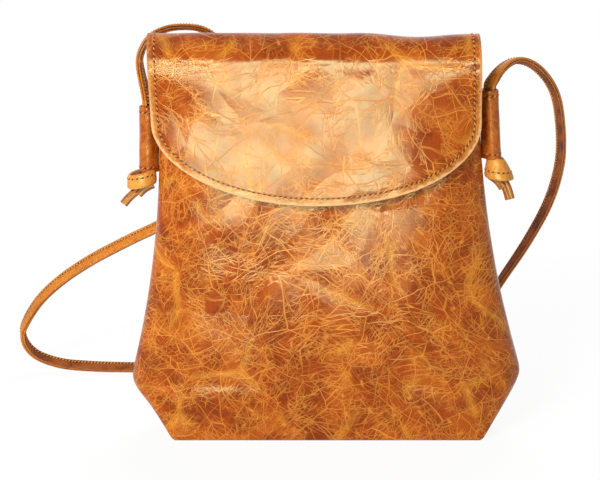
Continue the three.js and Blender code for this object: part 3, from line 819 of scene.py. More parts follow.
_, strap_across, strap_out = directions(strap_line)
bm = lay_rows(band_rows(strap_line, strap_section()), weld=True)
for face in bm.faces:
    middle = np.array(face.calc_center_median())
    ring = np.argmin(((strap_line[:, :3] - middle) ** 2).sum(axis=1))
    height = (middle - strap_line[ring, :3]) @ strap_out[ring]
    face.material_index = 1 if height > INNER_LAYER or abs(height) < SPLIT else 0
strap = make_piece("strap_band", bm, [strap_outer, strap_inner])
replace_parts(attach(strap, "pouch"), "strap")

# %% [markdown]
# ## Inside of the pouch
# A leather facing runs round the inside of the mouth, a cotton lining hangs below it, and a slip pocket
# is sewn on the back. None of it shows while the flap is closed, but an open bag is looked into. The
# pieces reuse the walls of the pouch, a little further in.

# %% Inside finishes
YARN = 0.0009


def lining_cotton(name):
    cloth = Finish(name, Roughness=0.9, Sheen_Weight=0.15)
    spot = cloth.hide()
    ways = cloth.node("ShaderNodeSeparateXYZ", {0: spot}).outputs
    yarns = [cloth.math("PINGPONG", cloth.math("DIVIDE", ways[way], YARN), 0.5) for way in "XY"]
    weave = cloth.highest(*yarns)
    slub = cloth.shade(cloth.stretch(spot, 0.012, 0.0008, 0.0), 1.0, 3.0, 0.6)
    tone = cloth.tones(weave, 0.1, 0.5, colour(140, 116, 82), colour(196, 172, 132))
    cloth.paint("Base Color", cloth.mix(cloth.step(slub, 0.4, 0.7, 0.0, 0.4), tone, colour(214, 194, 158)))
    cloth.bump(cloth.plus(weave, slub), 0.00022)
    return cloth.material


def inside_leather(name):
    smooth = Finish(name, IOR=1.48)
    spot = smooth.hide()
    pebble = smooth.step(smooth.cell_edge(smooth.warp(spot, 0.003, 0.0012), 0.0021), 0.0, 0.3)
    cloud = smooth.shade(spot, 0.018)
    tone = smooth.tones(cloud, 0.3, 0.7, colour(138, 78, 36), colour(170, 104, 56))
    groove = smooth.step(pebble, 0.0, 0.6, 0.35, 0.0)
    smooth.paint("Base Color", smooth.mix(groove, tone, colour(102, 54, 24)))
    smooth.paint("Roughness", smooth.step(cloud, 0.3, 0.7, 0.52, 0.68))
    smooth.bump(pebble, 0.00015)
    return smooth.material


cotton = lining_cotton("lining_cotton")
facing_leather = inside_leather("inside_leather")
cloth_finishes = [cotton] * 3
facing_finishes = [facing_leather, facing_leather, raw_edge]

# %% Facings, lining and slip pocket
FACING_HEIGHT = 0.028
FACING_LEATHER = 0.0012
LINING_CLOTH = 0.0008
FACING_ROUND, CLOTH_ROUND = 0.0003, 0.0002  # of cut edges
POCKET_HALF_WIDTH = 0.060
POCKET_TOP = RIM - 0.060
POCKET_HEIGHT = 0.085
WITHIN = LEATHER + GAP


def pocket_place(x, z):
    return Vector((x + lean(z), wall_depth(x, z, WITHIN + LINING_CLOTH + GAP) + slack(x, z, BACK), z))


for facing, side in ((FRONT, "front"), (BACK, "back")):
    heights = wall_heights(RIM - FACING_HEIGHT, RIM)
    band = lay_rows([wall_row(z, WITHIN, facing) for z in heights], inside=INSIDE_POUCH)
    band = make_piece(f"{side}_mouth_band", band, facing_finishes)
    thicken(band, FACING_LEATHER, FACING_ROUND)
    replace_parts(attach(band, "pouch"), f"{side}_facing")
    bag = pouch_skin(WITHIN, RIM - FACING_HEIGHT - GAP, facing)
    bag = make_piece(f"{side}_cotton", bag, cloth_finishes)
    thicken(bag, LINING_CLOTH, CLOTH_ROUND)
    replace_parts(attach(bag, "pouch"), f"{side}_lining")
    declare_sheet(bag)

pocket_rows = [
    [pocket_place(mixed(-POCKET_HALF_WIDTH, POCKET_HALF_WIDTH, t), POCKET_TOP - POCKET_HEIGHT * (1 - up))
     for t in steps(40)]
    for up in steps(30)
]
pocket = lay_rows(pocket_rows, inside=INSIDE_POUCH)
pocket = make_piece("pocket_cotton", pocket, cloth_finishes)
thicken(pocket, LINING_CLOTH, CLOTH_ROUND)
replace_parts(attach(pocket, "pouch"), "slip_pocket")
declare_sheet(pocket)

# %% [markdown]
# ## Flap
# The flap is one sheet of leather. Its narrow end is sewn flat on the back, it folds over the mouth and
# hangs down the front to a half-ellipse edge, with a thin lining behind it.

# %% Shape of the flap
FLAP_HALF_WIDTH = 0.1064
FLAP_SHIFT = -0.002
FLAP_BOTTOM = RIM - 0.0875
FLAP_CURVE_HEIGHT = 0.051
FLAP_STRAIGHT_END = FLAP_BOTTOM + FLAP_CURVE_HEIGHT
FLAP_RISE = 0.0185
FLAP_SIDE_WRAP = 0.011
FLAP_LINING = 0.001
FLAP_STACK = LEATHER + GAP + FLAP_LINING
FLAP_STAND_OFF = 0.0046
FOLD_BASE = RIM + 0.001
FOLD_DIP = 0.0024  # how far the slack fold sinks on the right
FOLD_DIP_PLACE, FOLD_DIP_REACH = 0.64, 0.22  # shares of the half width
FOLD_WAVE = 0.0004
FLAP_SWELL, FLAP_RIPPLE = 0.0010, 0.00015
HINGE_LIFT = 0.0053
ANCHOR_HALF_WIDTH = 0.091
ANCHOR_BOTTOM = RIM - 0.028
ANCHOR_CORNER_RISE = 0.009
HINGE_SLACK = 0.0005

hinge = Vector(frame["joints"][0]["pos_m"])
fold_start = math.asin(HINGE_LIFT / FLAP_RISE)
fold_front = MOUTH_HALF_DEPTH + FLAP_STAND_OFF + FLAP_STACK
fold_half_span = (hinge.y + fold_front) / (1 + math.cos(fold_start))
fold_middle = fold_half_span - fold_front
anchor_top = FOLD_BASE + HINGE_LIFT


def flap_edge(across):
    return FLAP_BOTTOM + FLAP_CURVE_HEIGHT * (1 - math.sqrt(max(0, 1 - across ** 2)))


def anchor_place(across, z):
    """Outside of the end that is sewn on the back. It widens towards the fold, and keeps behind the hinge
    line but for a little slack, so that it stays on the pouch when the flap opens."""
    half = mixed(ANCHOR_HALF_WIDTH, FLAP_HALF_WIDTH, 0.5 * eased(z, RIM - 0.012, anchor_top))
    reach = min(abs(half * across + FLAP_SHIFT), half_width(z) - GAP)
    sewn = max(wall_depth(reach, min(z, RIM)) + GAP + LEATHER, hinge.y - HINGE_SLACK)
    depth = mixed(sewn, hinge.y, eased(z, RIM - FACING_HEIGHT / 2, anchor_top))
    return Vector((half * across + lean(z) + FLAP_SHIFT, depth, z))


def fold_place(across, turn, depth=0):
    """The fold over the mouth, from the hinge line at turn 0 to the front at turn 1."""
    angle = mixed(fold_start, math.pi, turn)
    half = mixed(ANCHOR_HALF_WIDTH, FLAP_HALF_WIDTH, 0.5 + 0.5 * eased(turn, 0, 0.3))
    dip = FOLD_DIP * math.exp(-((across - FOLD_DIP_PLACE) / FOLD_DIP_REACH) ** 2) * math.sin(angle) ** 2
    wave = FOLD_WAVE * noise.noise(Vector((across * 4.5, 0.3, 9.1))) * math.sin(angle) ** 2
    y = fold_middle + (fold_half_span - depth) * math.cos(angle)
    z = FOLD_BASE + (FLAP_RISE - depth) * math.sin(angle) - dip + wave
    return Vector((half * across + lean(z) + FLAP_SHIFT, y, z))


def front_place(across, z, depth=0):
    """The part that hangs down the front, at a height."""
    wrap = FLAP_SIDE_WRAP * abs(across) ** 3 * eased(FOLD_BASE - z, 0, FOLD_BASE - FLAP_STRAIGHT_END)
    loose = eased(FOLD_BASE - z, 0, 0.03)
    swell = FLAP_SWELL * noise.noise(Vector((across * 2.2, z * 17, 4.7)))
    ripple = FLAP_RIPPLE * noise.noise(Vector((across * 6.0, z * 46, 2.2)))
    y = depth + wrap - (half_depth(z) + FLAP_STAND_OFF + FLAP_STACK) + loose * (swell + ripple)
    return Vector((FLAP_HALF_WIDTH * across + lean(z) + FLAP_SHIFT, y, z))


# %% Flap leather and flap lining
FLAP_COLUMNS = 120
ANCHOR_ROWS, FOLD_ROWS, FLAP_ROWS = 16, 36, 60
SIDE_CROWDING, EDGE_CROWDING = 0.7, 1.4  # columns crowd to the sides, rows to the lower edge
INSIDE_FLAP = Vector((0, 0, 0.19))

flap_columns = [
    mixed(t, math.sin(math.pi / 2 * t), SIDE_CROWDING) for t in np.linspace(-1, 1, FLAP_COLUMNS + 1)
]
fold_line = np.array([fold_place(0, turn) for turn in steps(FOLD_ROWS)])
fold_lengths = np.pad(np.cumsum(np.linalg.norm(np.diff(fold_line, axis=0), axis=1)), (1, 0))
anchor_length = anchor_top - ANCHOR_BOTTOM
front_start = anchor_length + fold_lengths[-1] + FOLD_BASE


def flap_rows(depth, sewn_end):
    """Rows of the flap and their spots on the hide, from the sewn end or the hinge line to the front edge."""
    rows, spots = [], []
    for up in steps(ANCHOR_ROWS)[:-1] if sewn_end else []:
        heights = [mixed(ANCHOR_BOTTOM + ANCHOR_CORNER_RISE * u ** 8, anchor_top, up) for u in flap_columns]
        rows.append([anchor_place(u, z) for u, z in zip(flap_columns, heights)])
        spots.append([(FLAP_HALF_WIDTH * u, z - ANCHOR_BOTTOM) for u, z in zip(flap_columns, heights)])
    for turn, length in zip(steps(FOLD_ROWS), fold_lengths):
        rows.append([fold_place(u, turn, depth) for u in flap_columns])
        spots.append([(FLAP_HALF_WIDTH * u, anchor_length + length) for u in flap_columns])
    for t in steps(FLAP_ROWS)[1:]:
        down = 1 - (1 - t) ** EDGE_CROWDING
        heights = [mixed(FOLD_BASE, flap_edge(u), down) for u in flap_columns]
        rows.append([front_place(u, z, depth) for u, z in zip(flap_columns, heights)])
        spots.append([(FLAP_HALF_WIDTH * u, front_start - z) for u, z in zip(flap_columns, heights)])
    return rows, spots


def bend_with_flap(piece):
    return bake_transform(piece)


rows, spots = flap_rows(0, sewn_end=True)
flap = lay_rows(rows, spots, INSIDE_FLAP)
flap = make_piece("flap_hide", flap, [flap_wax, flesh, raw_edge])
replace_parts(bend_with_flap(thicken(flap, LEATHER, LEATHER_ROUND)), "flap_anchor", "flap_leather")
declare_sheet(flap)

rows, spots = flap_rows(WITHIN, sewn_end=False)
backing = lay_rows(rows, spots, INSIDE_FLAP)
backing = make_piece("flap_backing", backing, facing_finishes)
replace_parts(bend_with_flap(thicken(backing, FLAP_LINING, FACING_ROUND)), "flap_lining")
declare_sheet(backing)

# %% [markdown]
# ## Stitches
# Every seam is sewn with a waxed thread: a slanted bead of thread, a needle hole, and the next bead. One
# small ellipsoid is repeated along each seam; a dark, flattened one between two beads is painted shade
# for the needle hole. Seams are lines on the surface, each point with the way out of the leather there.

# %% Thread and the sewing of a seam
STITCH_PITCH = 0.0034  # of the flap, the pouch and the sleeves
STRAP_PITCH = 0.0024
STITCH_SHARE = 0.72  # of the pitch that the thread lies on
THREAD_RADIUS = 0.00042
HOLE_HALF_LENGTH = 0.0010
HOLE_HALF_WIDTH = 0.00056
STITCH_SLANT = 0.35
STRAP_SLANT = 1.3
STRAP_SHARE = 0.9
STRAP_THREAD = 0.00050
THREAD_LIFT = 0.2  # of its radius, out of the leather
HOLE_FLATNESS = 0.4
SEAM_HEIGHT = 0.48  # of the thickness of a strip, from its middle to the seam


# A needle hole is a recess. Its dark is painted shade, on a flat disc that lies on the surface.
def hole_shade_finish(name):
    dark = Finish(name, Roughness=1.0, Specular_IOR_Level=0.05)
    crumb = dark.shade(dark.place(), 0.0005, 2.0, flat=False)
    dark.paint("Base Color", dark.mix(crumb, colour(84, 36, 10), colour(118, 58, 20)))
    return dark.material


twist = {"grain": (0.0006, 2.0, 0.5), "dark": colour(178, 108, 46), "light": colour(228, 168, 92)}
thread = grainy("waxed_thread", **twist, depth=0.0001, Roughness=0.6, Specular_IOR_Level=0.25)
needle_hole_shade = hole_shade_finish("needle_hole_shade")


def bead(name, finish_index):
    """A small round bead of radius 1, drawn out later to a stitch or pressed flat to a dark disc, painted
    shade for a needle hole.
    """
    bm = bmesh.new()
    bmesh.ops.create_uvsphere(bm, u_segments=6, v_segments=5, radius=1)
    for face in bm.faces:
        face.material_index = finish_index
        face.smooth = True
    return mesh_of(bm, name)


thread_bead = bead("thread_bead", 0)
hole_shade_bead = bead("hole_shade_bead", 1)


def sew(bm, seam, pitch, lean_over, share, radius):
    """Adds stitches along a seam, an array of points with the way out at each."""
    shrink = pitch / STITCH_PITCH
    line, _ = even_line(np.array(seam), pitch / 2)
    along = np.gradient(line[:, :3], axis=0)
    for index, (station, ahead) in enumerate(zip(line, along)):
        point, out = Vector(station[:3]), Vector(station[3:]).normalized()
        ahead = Vector(ahead).normalized()
        side = out.cross(ahead).normalized()
        slant = (ahead + lean_over * side).normalized()
        beside = out.cross(slant)
        if index % 2 == 0:
            axes = (beside * radius, out * radius, slant * share * pitch / 2)
            point = point + out * THREAD_LIFT * radius
            stitch = thread_bead.copy()
        else:
            width = shrink ** 2 * HOLE_HALF_WIDTH
            axes = (beside * width, out * HOLE_FLATNESS * width, slant * shrink * HOLE_HALF_LENGTH)
            # a flat dark disc: painted shade for the needle hole
            stitch = hole_shade_bead.copy()
        turned = Matrix(axes).transposed().to_4x4()
        stitch.transform(Matrix.Translation(point) @ turned)
        bm.from_mesh(stitch)
        bpy.data.meshes.remove(stitch)


def sewn_piece(name, seams, stitch=(STITCH_PITCH, STITCH_SLANT, STITCH_SHARE, THREAD_RADIUS)):
    bm = bmesh.new()
    for seam in seams:
        sew(bm, seam, *stitch)
    bmesh.ops.recalc_face_normals(bm, faces=bm.faces)
    return make_piece(name, bm, [thread, needle_hole_shade])


def on_surface(surface, spots, inside):
    """A seam through spots on a surface, with the way out at each found from the surface's own slopes."""
    seam = []
    nudge = 0.0005
    for first, second in spots:
        point = surface(first, second)
        across = surface(first + nudge, second) - surface(first - nudge, second)
        along = surface(first, second + nudge) - surface(first, second - nudge)
        out = across.cross(along).normalized()
        seam.append((*point, *(out if out.dot(point - inside) > 0 else -out)))
    return seam


# %% Seams of the flap
side_across = 1 - FLAP_SEAM_INSET / FLAP_HALF_WIDTH
front_top = FOLD_BASE - 0.001


def flap_seam_spots():
    """Spots on the front from the left side round the lower edge to the right side, inside the edge."""
    spots = [(-side_across, mixed(front_top, FLAP_STRAIGHT_END, t)) for t in steps(20)[:-1]]
    for t in steps(160):
        angle = math.pi * (t - 0.5)
        sine, cosine = math.sin(angle), math.cos(angle)
        edge = Vector((FLAP_HALF_WIDTH * sine, FLAP_STRAIGHT_END - FLAP_CURVE_HEIGHT * cosine))
        out = Vector((sine / FLAP_HALF_WIDTH, -cosine / FLAP_CURVE_HEIGHT)).normalized()
        inner = edge - FLAP_SEAM_INSET * out
        spots.append((inner.x / FLAP_HALF_WIDTH, inner.y))
    spots += [(side_across, mixed(FLAP_STRAIGHT_END, front_top, t)) for t in steps(20)[1:]]
    return spots


fold_spots = [mixed(0.12, 0.98, t) for t in steps(24)]
flap_seams = [on_surface(front_place, flap_seam_spots(), INSIDE_FLAP)]
for side in (LEFT, RIGHT):
    spots = [(side * side_across, turn) for turn in fold_spots]
    flap_seams.append(on_surface(fold_place, spots, INSIDE_FLAP))
bend_with_flap(sewn_piece("flap_stitches", flap_seams))

ANCHOR_SEAM_INSET = 0.0035
RIM_SEAM_DEPTH = 0.005
anchor_across = 1 - ANCHOR_SEAM_INSET / ANCHOR_HALF_WIDTH
anchor_spots = [
    (u, ANCHOR_BOTTOM + ANCHOR_SEAM_INSET + ANCHOR_CORNER_RISE * (u / anchor_across) ** 8 * 0.9)
    for u in np.linspace(-anchor_across, anchor_across, 120)
]
rim_spots = [(u, RIM - RIM_SEAM_DEPTH) for u in np.linspace(-anchor_across, anchor_across, 80)]
anchor_seams = [on_surface(anchor_place, spots, INSIDE_FLAP) for spots in (anchor_spots, rim_spots)]


def front_wall(x, z):
    return Vector((x + lean(z), -wall_depth(x, z) - slack(x, z, FRONT), z))


MOUTH_SEAM_DEPTH = 0.0045
MOUTH_SEAM_HALF = 0.094
mouth_spots = [(x, RIM - MOUTH_SEAM_DEPTH) for x in np.linspace(-MOUTH_SEAM_HALF, MOUTH_SEAM_HALF, 90)]
mouth_seam = on_surface(front_wall, mouth_spots, INSIDE_POUCH)
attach(sewn_piece("pouch_stitches", anchor_seams + [mouth_seam]), "pouch")

# %% Seams of the strap
BARE_RINGS = 12  # at each end of the strap, inside the sleeves
channel = (SEAM_INSET - STRAP_WIDTH / 2) * strap_across
strap_seams = []
for face in (1, -1):
    face_points = strap_line[:, :3] + channel + face * SEAM_HEIGHT * STRAP_THICKNESS * strap_out
    strap_seams.append(np.hstack([face_points, face * strap_out])[BARE_RINGS:-BARE_RINGS])
strap_stitch = (STRAP_PITCH, STRAP_SLANT, STRAP_SHARE, STRAP_THREAD)
strap_stitches = sewn_piece("strap_stitches", strap_seams, strap_stitch)
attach(strap_stitches, "pouch")

# %% [markdown]
# ## Sleeves
# A sleeve is a strip of the same leather, wrapped round the strap and sewn into the side seam, so that
# the strap can slide. Its section is an oval that is pinched to a tab on the bag's side. The grid runs up
# the outside, over the top rim, down the bore and back, and its ends are welded into one closed tube.

# %% Sleeves
SLEEVE_FACETS = 56
SLEEVE_SEAM_INSET = 0.0032
SLEEVE_CRUSH, SLEEVE_FLARE = 0.04, 0.03  # shares of its size
SLEEVE_RIM = 0.0003  # how far its rims are rounded


def sleeve_axis(side):
    foot = sleeve_centre(side, SLEEVE_FOOT[side])
    top = sleeve_centre(side, SLEEVE_FOOT[side] + SLEEVE_LENGTH[side])
    return foot, top


def sleeve_outside(side, turn, share):
    """A point on the outside of a sleeve, at a turn round it and a share of its length."""
    foot, top = sleeve_axis(side)
    tab = math.exp(-((turn - math.pi) / 0.5) ** 2)
    end = math.exp(-share / 0.07) + math.exp(-(1 - share) / 0.07)
    crush = noise.noise(Vector((math.cos(turn) * 1.3, math.sin(turn) * 1.3, share * 4 + side * 5)))
    size = 1 + SLEEVE_CRUSH * crush + SLEEVE_FLARE * end
    x = size * SLEEVE_HALF_WIDTH * math.cos(turn) - (SLEEVE_TAB + GAP) * tab
    y = size * SLEEVE_HALF_DEPTH * math.sin(turn) * (1 - 0.4 * tab)
    return foot.lerp(top, share) + Vector((side * x, y, 0))


def sleeve_bore(side, turn, share):
    foot, top = sleeve_axis(side)
    x = (SLEEVE_HALF_WIDTH - SLEEVE_WALL) * math.cos(turn)
    y = (SLEEVE_HALF_DEPTH - SLEEVE_WALL) * math.sin(turn)
    return foot.lerp(top, share) + Vector((side * x, y, 0))


def sleeve_rows(side):
    turns = [2 * math.pi * t for t in steps(SLEEVE_FACETS)]
    outside = [[sleeve_outside(side, turn, share) for turn in turns] for share in steps(36)]
    bore = [[sleeve_bore(side, turn, share) for turn in turns] for share in steps(12)[::-1]]

    def rim(first, second, lift):
        return [[a.lerp(b, t) + Vector((0, 0, lift)) for a, b in zip(first, second)] for t in (0.25, 0.75)]

    top = rim(outside[-1], bore[0], SLEEVE_RIM)
    foot = rim(bore[-1], outside[0], -SLEEVE_RIM)
    return outside + top + bore + foot + outside[:1]


for side, name in ((LEFT, "left_sleeve"), (RIGHT, "right_sleeve")):
    tube = make_piece(f"{name}_hide", lay_rows(sleeve_rows(side), weld=True), [sleeve_wax])
    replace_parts(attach(tube, "pouch"), name)
    seams = []
    inset = SLEEVE_SEAM_INSET / SLEEVE_LENGTH[side]
    for share in (inset, 1 - inset):
        level = sleeve_centre(side, SLEEVE_FOOT[side] + SLEEVE_LENGTH[side] * share)
        spots = [(math.radians(angle), share) for angle in range(-135, 136, 5)]
        seams.append(on_surface(partial(sleeve_outside, side), spots, level))
    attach(sewn_piece(f"{name}_stitches", seams), "pouch")

# %% [markdown]
# ## Knots
# Under each sleeve the strap is knotted so that it can't slip out. What shows of a tight overhand knot is
# one turn of the strap round itself and the folded tail below it. So a soft section is swept round a
# cone, a turned plug fills the middle of the turn, and folded tails come out underneath, the long one
# with a hollow cut end.

# %% Turn and tail of a knot
KNOT_HEIGHT = 0.013
KNOT_REACH = 0.0096  # from the middle of a knot to the outside of its turn
KNOT_SAG = {LEFT: 0.0020, RIGHT: 0.0015}  # how much lower the turn hangs on its outer side
TURN_SPREAD = 0.0006  # how far the turn stands out past the knot's middle
TURN_WIDTH = {LEFT: 0.0096, RIGHT: 0.0142}
TURN_TILT = {LEFT: math.radians(4), RIGHT: math.radians(17)}
TURN_LEAN = {LEFT: 0.0, RIGHT: math.radians(10)}  # more tilt on the outer side than on the inner
TURN_THICKNESS = 0.0026
TURN_COUNT = 1.15
TURN_START = math.radians(55)
TURN_TUCK = 0.0012  # how far its end is drawn in
TURN_SEAM_INSET = {LEFT: 0.0028, RIGHT: 0.0092}  # of the stitches, from the upper edge of the turn
TAIL_SPREAD = {LEFT: 1.3, RIGHT: 0.5}
TAIL_FORWARD = 0.25
TAIL_LENGTH = {LEFT: 0.0165, RIGHT: 0.0175}
TAIL_WIDTH = {LEFT: 0.0056, RIGHT: 0.0066}
TAIL_THICKNESS = 0.0042
TAIL_DROP = 0.0105  # from the top of the knot to the start of the tail
TAIL_BOW, TAIL_SINK = 0.0010, 0.0012  # how far it bends outwards and down
HOLLOW_WALL, HOLLOW_DEPTH = 0.0008, 0.0025  # of the cut end of a tail
# the folded piece beside the tail: where it starts from the top of the knot (outward, y, z) and its way
FOLD_START = {LEFT: (-0.0066, -0.001, -0.0086), RIGHT: (-0.0058, -0.002, -0.0112)}
FOLD_SLOPE = {LEFT: (0.87, -0.05, -0.50), RIGHT: (0.77, -0.1, -0.64)}
FOLD_LENGTH = 0.0112
FOLD_WIDTH = 0.0056


def knot_top(side):
    foot = SLEEVE_FOOT[side] - KNOT_HEIGHT
    return Vector((side * (half_width(foot) + GAP + KNOT_REACH) + lean(foot), 0, SLEEVE_FOOT[side]))


def turn_line(side):
    """Centre line of the strap's turn round itself. Its start is tucked in at the back."""
    line = []
    width = TURN_WIDTH[side]
    middle = knot_top(side) + Vector((side * TURN_SPREAD, 0, 0))
    for t in steps(96):
        angle = TURN_START + side * 2 * math.pi * TURN_COUNT * t
        outward = side * math.cos(angle)
        tilt = TURN_TILT[side] + TURN_LEAN[side] * outward
        radius = KNOT_REACH + TURN_SPREAD
        radius -= 0.5 * TURN_THICKNESS * math.cos(tilt) + 0.5 * width * math.sin(tilt)
        radius -= TURN_THICKNESS * eased(0.2 - t, 0, 0.2) + TURN_TUCK * eased(t, 0.94, 1)
        drop = 0.5 * width * math.cos(tilt) + KNOT_SAG[side] * outward
        out = Vector((math.cos(angle) * math.cos(tilt), math.sin(angle) * math.cos(tilt), math.sin(tilt)))
        point = middle + Vector((radius * math.cos(angle), radius * math.sin(angle), -drop))
        line.append((*point, *out))
    return np.array(line)


def turn_section(width):
    """Section of the turn: a soft cushion."""
    wide, thick = width / 2, TURN_THICKNESS / 2
    outline = []
    for t in steps(36):
        angle = 2 * math.pi * t
        across = math.copysign(abs(math.cos(angle)) ** 0.55, math.cos(angle))
        out = math.copysign(abs(math.sin(angle)) ** 0.7, math.sin(angle))
        outline.append((wide * across, thick * out))
    return np.array(outline)


def tail_section(width):
    """A strip folded in two: a round ridge on each side of a valley, on both faces."""
    outline = []
    for t in steps(28):
        angle = 2 * math.pi * t
        ridge = 0.92 + 0.38 * math.sin(angle) ** 2 - 0.42 * math.exp(-(math.cos(angle) / 0.3) ** 2)
        outline.append((width / 2 * math.cos(angle), TAIL_THICKNESS / 2 * math.sin(angle) * ridge))
    return np.array(outline)


def tail_line(side, start, slope, length):
    face = Vector((0.2 * side, -1, -0.1))
    line = []
    for t in steps(24):
        bend = Vector((side * TAIL_BOW * math.sin(math.pi * t), 0, -TAIL_SINK * t * t))
        line.append((*(start + slope * length * t + bend), *face))
    return np.array(line)


def hollow_end(bm, end):
    """Presses the cut end of a tail in, so that its fold shows as a dark hollow."""
    caps = [face for face in bm.faces if len(face.verts) > 8]
    cap = min(caps, key=lambda face: (face.calc_center_median() - end).length)
    bmesh.ops.inset_region(bm, faces=[cap], thickness=HOLLOW_WALL)
    bmesh.ops.translate(bm, verts=cap.verts, vec=-cap.normal * HOLLOW_DEPTH)


def knot_plug(side):
    """The rolled strap in the middle of the turn, a solid of revolution."""
    bm = bmesh.new()
    top, low = knot_top(side), -TURN_WIDTH[side] * math.cos(TURN_TILT[side])
    flare = TURN_WIDTH[side] * math.sin(TURN_TILT[side] + TURN_LEAN[side])
    profile = [(0, 0.06 * low)]
    for share in (0.08, 0.3, 0.55, 0.8):
        profile.append((KNOT_REACH - TURN_THICKNESS - flare * (1 - share), share * low))
    profile += [(0.7 * profile[-1][0], 0.93 * low), (0, 0.96 * low)]
    verts = [bm.verts.new(top + Vector((radius, 0, z))) for radius, z in profile]
    chain = [bm.edges.new(pair) for pair in zip(verts, verts[1:])]
    bmesh.ops.spin(bm, geom=verts + chain, cent=top, axis=(0, 0, 1), dvec=(0, 0, 0), angle=2 * math.pi,
                   steps=24, use_merge=True)
    bmesh.ops.remove_doubles(bm, verts=bm.verts, dist=WELD_DISTANCE)
    bmesh.ops.recalc_face_normals(bm, faces=bm.faces)
    return bm


def add_to(bm, other, finish_index):
    """Adds a grid to a piece in the making."""
    for face in other.faces:
        face.material_index = finish_index
    mesh = mesh_of(other, "part_of_knot")
    bm.from_mesh(mesh)
    bpy.data.meshes.remove(mesh)


# %% Knots
# The turn of a knot is tinted lighter than the rest of the strap. Part of that tint is painted light: the
# highlights on the tight turn, over the strap's own golden leather.
painted_light_knot_wax = waxed_leather("knot_waxed_leather_painted_light", tint=colour(234, 166, 72), size=0.4)
tail_wax = waxed_leather("tail_waxed_leather", tint=colour(138, 84, 46), size=0.3)
SEAM_RINGS = slice(20, -4)  # the rest of a turn is tucked in
knots = []
for side, name in ((LEFT, "left_knot"), (RIGHT, "right_knot")):
    line = turn_line(side)
    bm = lay_rows(band_rows(line, turn_section(TURN_WIDTH[side])), weld=True)
    top = knot_top(side)
    slope = Vector((side * TAIL_SPREAD[side], -TAIL_FORWARD, -1)).normalized()
    tail = tail_line(side, top + Vector((0, 0, -TAIL_DROP)), slope, TAIL_LENGTH[side])
    strip = lay_rows(band_rows(tail, tail_section(TAIL_WIDTH[side])), weld=True)
    hollow_end(strip, Vector(tail[-1][:3]))
    add_to(bm, strip, 1)
    outward = Vector((side, 1, 1))
    start, slope = (outward * Vector(values[side]) for values in (FOLD_START, FOLD_SLOPE))
    fold = tail_line(side, top + start, slope, FOLD_LENGTH)
    add_to(bm, lay_rows(band_rows(fold, tail_section(FOLD_WIDTH)), weld=True), 1)
    add_to(bm, knot_plug(side), 2)
    knot = make_piece(f"{name}_turn", bm, [painted_light_knot_wax, tail_wax, strap_inner])
    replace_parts(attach(knot, "pouch"), name)
    _, turn_across, turn_out = directions(line)
    upward = np.sign(turn_across[:, 2:])
    sewn = line[:, :3] + (TURN_WIDTH[side] / 2 - TURN_SEAM_INSET[side]) * upward * turn_across
    seam = np.hstack([sewn + SEAM_HEIGHT * TURN_THICKNESS * turn_out, turn_out])[SEAM_RINGS]
    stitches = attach(sewn_piece(f"{name}_stitches", [seam]), "pouch")
    knots += [knot, stitches]

# %% [markdown]
# ## Snap
# A magnetic snap holds the flap shut. Its two halves are turned metal, so the solids have the right
# shape, and they only get a brushed nickel finish. The dark magnet shows in the recess of the socket.

# %% Snap


def brushed_nickel(name):
    metal = Finish(name, Metallic=1.0)
    place = metal.place()
    brushed = metal.shade(metal.stretch(place, 0.012, 0.0004, 0.6), 1.0, 3.0, 0.6, flat=False)
    spots = metal.shade(place, 0.003, flat=False)
    tone = metal.tones(spots, 0.35, 0.7, colour(176, 170, 158), colour(206, 202, 192))
    metal.paint("Base Color", tone)
    metal.paint("Roughness", metal.step(brushed, 0.3, 0.7, 0.24, 0.42))
    metal.bump(brushed, 0.00003)
    return metal.material


SOCKET_RECESS = 1.02 * 0.0046  # its radius, and a little over

nickel = brushed_nickel("snap_nickel")
for node in ("snap_socket", "snap_stud"):
    frame["nodes"][node].material_slots[0].material = nickel
socket = frame["nodes"]["snap_socket"].data
ferrite = {"grain": (0.0006, 3.0, 0.6), "dark": colour(46, 44, 42), "light": colour(74, 70, 66)}
socket.materials.append(grainy("snap_magnet", **ferrite, depth=0.00005, Roughness=0.75))
corners = np.array([vertex.co for vertex in socket.vertices])
middle = (corners.min(axis=0) + corners.max(axis=0)) / 2
axis = np.linalg.svd(corners - corners.mean(axis=0))[2][2]
for face in socket.polygons:
    away = np.cross(np.array(face.center) - middle, axis)
    face.material_index = int(np.linalg.norm(away) < SOCKET_RECESS)
print("snap finished, magnet faces:", sum(face.material_index for face in socket.polygons))

# %% [markdown]
# ## Floor and light
# The bag stands on a white sweep. A key light from the upper left shades the leather and draws the shadow
# under the flap. A wide, low window in front is there to be mirrored: it gives the broad sheen on the
# flap. Softer lamps from the left, above and behind and an even sky fill the shadows. The sky and the
# floor look white to the camera and to glossy surfaces, with a little less of that white near the bag, so
# that its shadow stays.

# %% Floor and light


def white_to_camera(nodes):
    """A factor of 1 for rays from the camera or off a glossy or clear surface."""
    path = nodes.node("ShaderNodeLightPath", {}).outputs
    return nodes.highest(path["Is Camera Ray"], path["Is Transmission Ray"], path["Is Glossy Ray"])


FLOOR_HALF = 4.0
FLOOR_WHITE_SHARE = 0.91  # beside the bag, and 1 further out
FLOOR_FADE = (0.3, 1.2)  # from where to where it grows
SKY_STRENGTH = 0.12

sweep = Finish("white_sweep", Roughness=0.9)
paper = sweep.shade(sweep.place(), 0.4, flat=False)
sweep.paint("Base Color", sweep.mix(paper, colour(244, 244, 244), colour(250, 250, 250)))
glow = sweep.node("ShaderNodeEmission", {"Color": (1, 1, 1, 1), "Strength": 1.0}).outputs[0]
far = sweep.node("ShaderNodeVectorMath", {0: sweep.place()}, operation="LENGTH").outputs["Value"]
whiteness = sweep.step(far, *FLOOR_FADE, FLOOR_WHITE_SHARE, 1.0)
share = sweep.times(white_to_camera(sweep), whiteness)
blend = sweep.node("ShaderNodeMixShader", {0: share, 1: sweep.shader.outputs[0], 2: glow})
sweep.tree.links.new(blend.outputs[0], sweep.tree.nodes["Material Output"].inputs["Surface"])

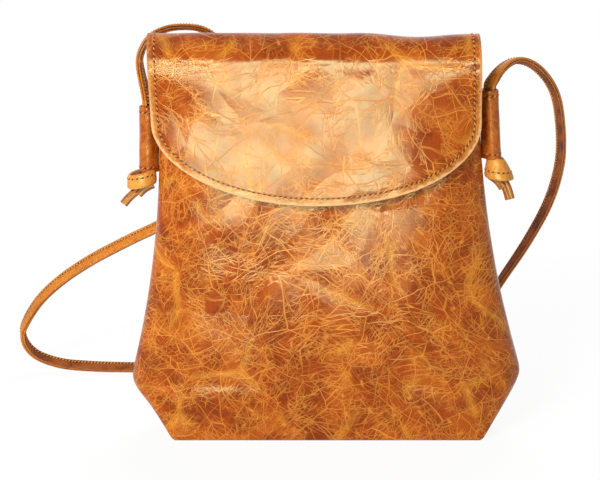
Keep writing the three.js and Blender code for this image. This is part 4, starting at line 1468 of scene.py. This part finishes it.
bm = bmesh.new()
bmesh.ops.create_grid(bm, x_segments=1, y_segments=1, size=FLOOR_HALF)
floor_mesh = mesh_of(bm, "floor")
floor_mesh.materials.append(sweep.material)
floor = bpy.data.objects.new("floor", floor_mesh)
bpy.context.scene.collection.objects.link(floor)

world = bpy.data.worlds.new("studio_sky")
bpy.context.scene.world = world
world.use_nodes = True
sky = Nodes(world.node_tree)
background = sky.tree.nodes["Background"]
background.inputs["Color"].default_value = (1, 1, 1, 1)
strength = sky.node("ShaderNodeMapRange", {0: white_to_camera(sky), 3: SKY_STRENGTH, 4: 1.0})
sky.tree.links.new(strength.outputs[0], background.inputs["Strength"])


def soft_light(name, place, aim, width, height, radiance, mirrored=True, lights_matt=True):
    """A soft window, which is mirrored by gloss, lights matt surfaces, or both."""
    lamp = bpy.data.lights.new(name, "AREA")
    lamp.shape = "RECTANGLE"
    lamp.size = width
    lamp.size_y = height
    lamp.energy = radiance * math.pi * width * height
    light = bpy.data.objects.new(name, lamp)
    light.location = place
    light.rotation_euler = (Vector(aim) - Vector(place)).to_track_quat("-Z", "Y").to_euler()
    light.visible_camera = False
    light.visible_glossy = mirrored
    light.visible_diffuse = lights_matt
    bpy.context.scene.collection.objects.link(light)
    print(name, round(lamp.energy, 1), "W")


soft_light("key", (-0.75, -1.55, 1.15), (0, 0, 0.15), 0.6, 0.4, 48, mirrored=False)
soft_light("window_front", (-0.23, -1.75, 0.32), (-0.02, 0, 0.17), 1.24, 0.42, 28, lights_matt=False)
soft_light("window_left", (-1.7, -0.9, 0.7), (0, 0, 0.15), 0.8, 0.8, 2.4)
soft_light("window_above", (-0.5, -0.4, 1.7), (0, 0, 0.1), 1.2, 1.0, 0.8)
soft_light("window_behind", (0.3, 1.4, 1.2), (0, 0, 0.12), 1.2, 1.0, 7, mirrored=False)

# %% [markdown]
# ## Colour view
# The render is shown with the standard view transform.

# %% Colour view
bpy.context.scene.view_settings.view_transform = "Standard"
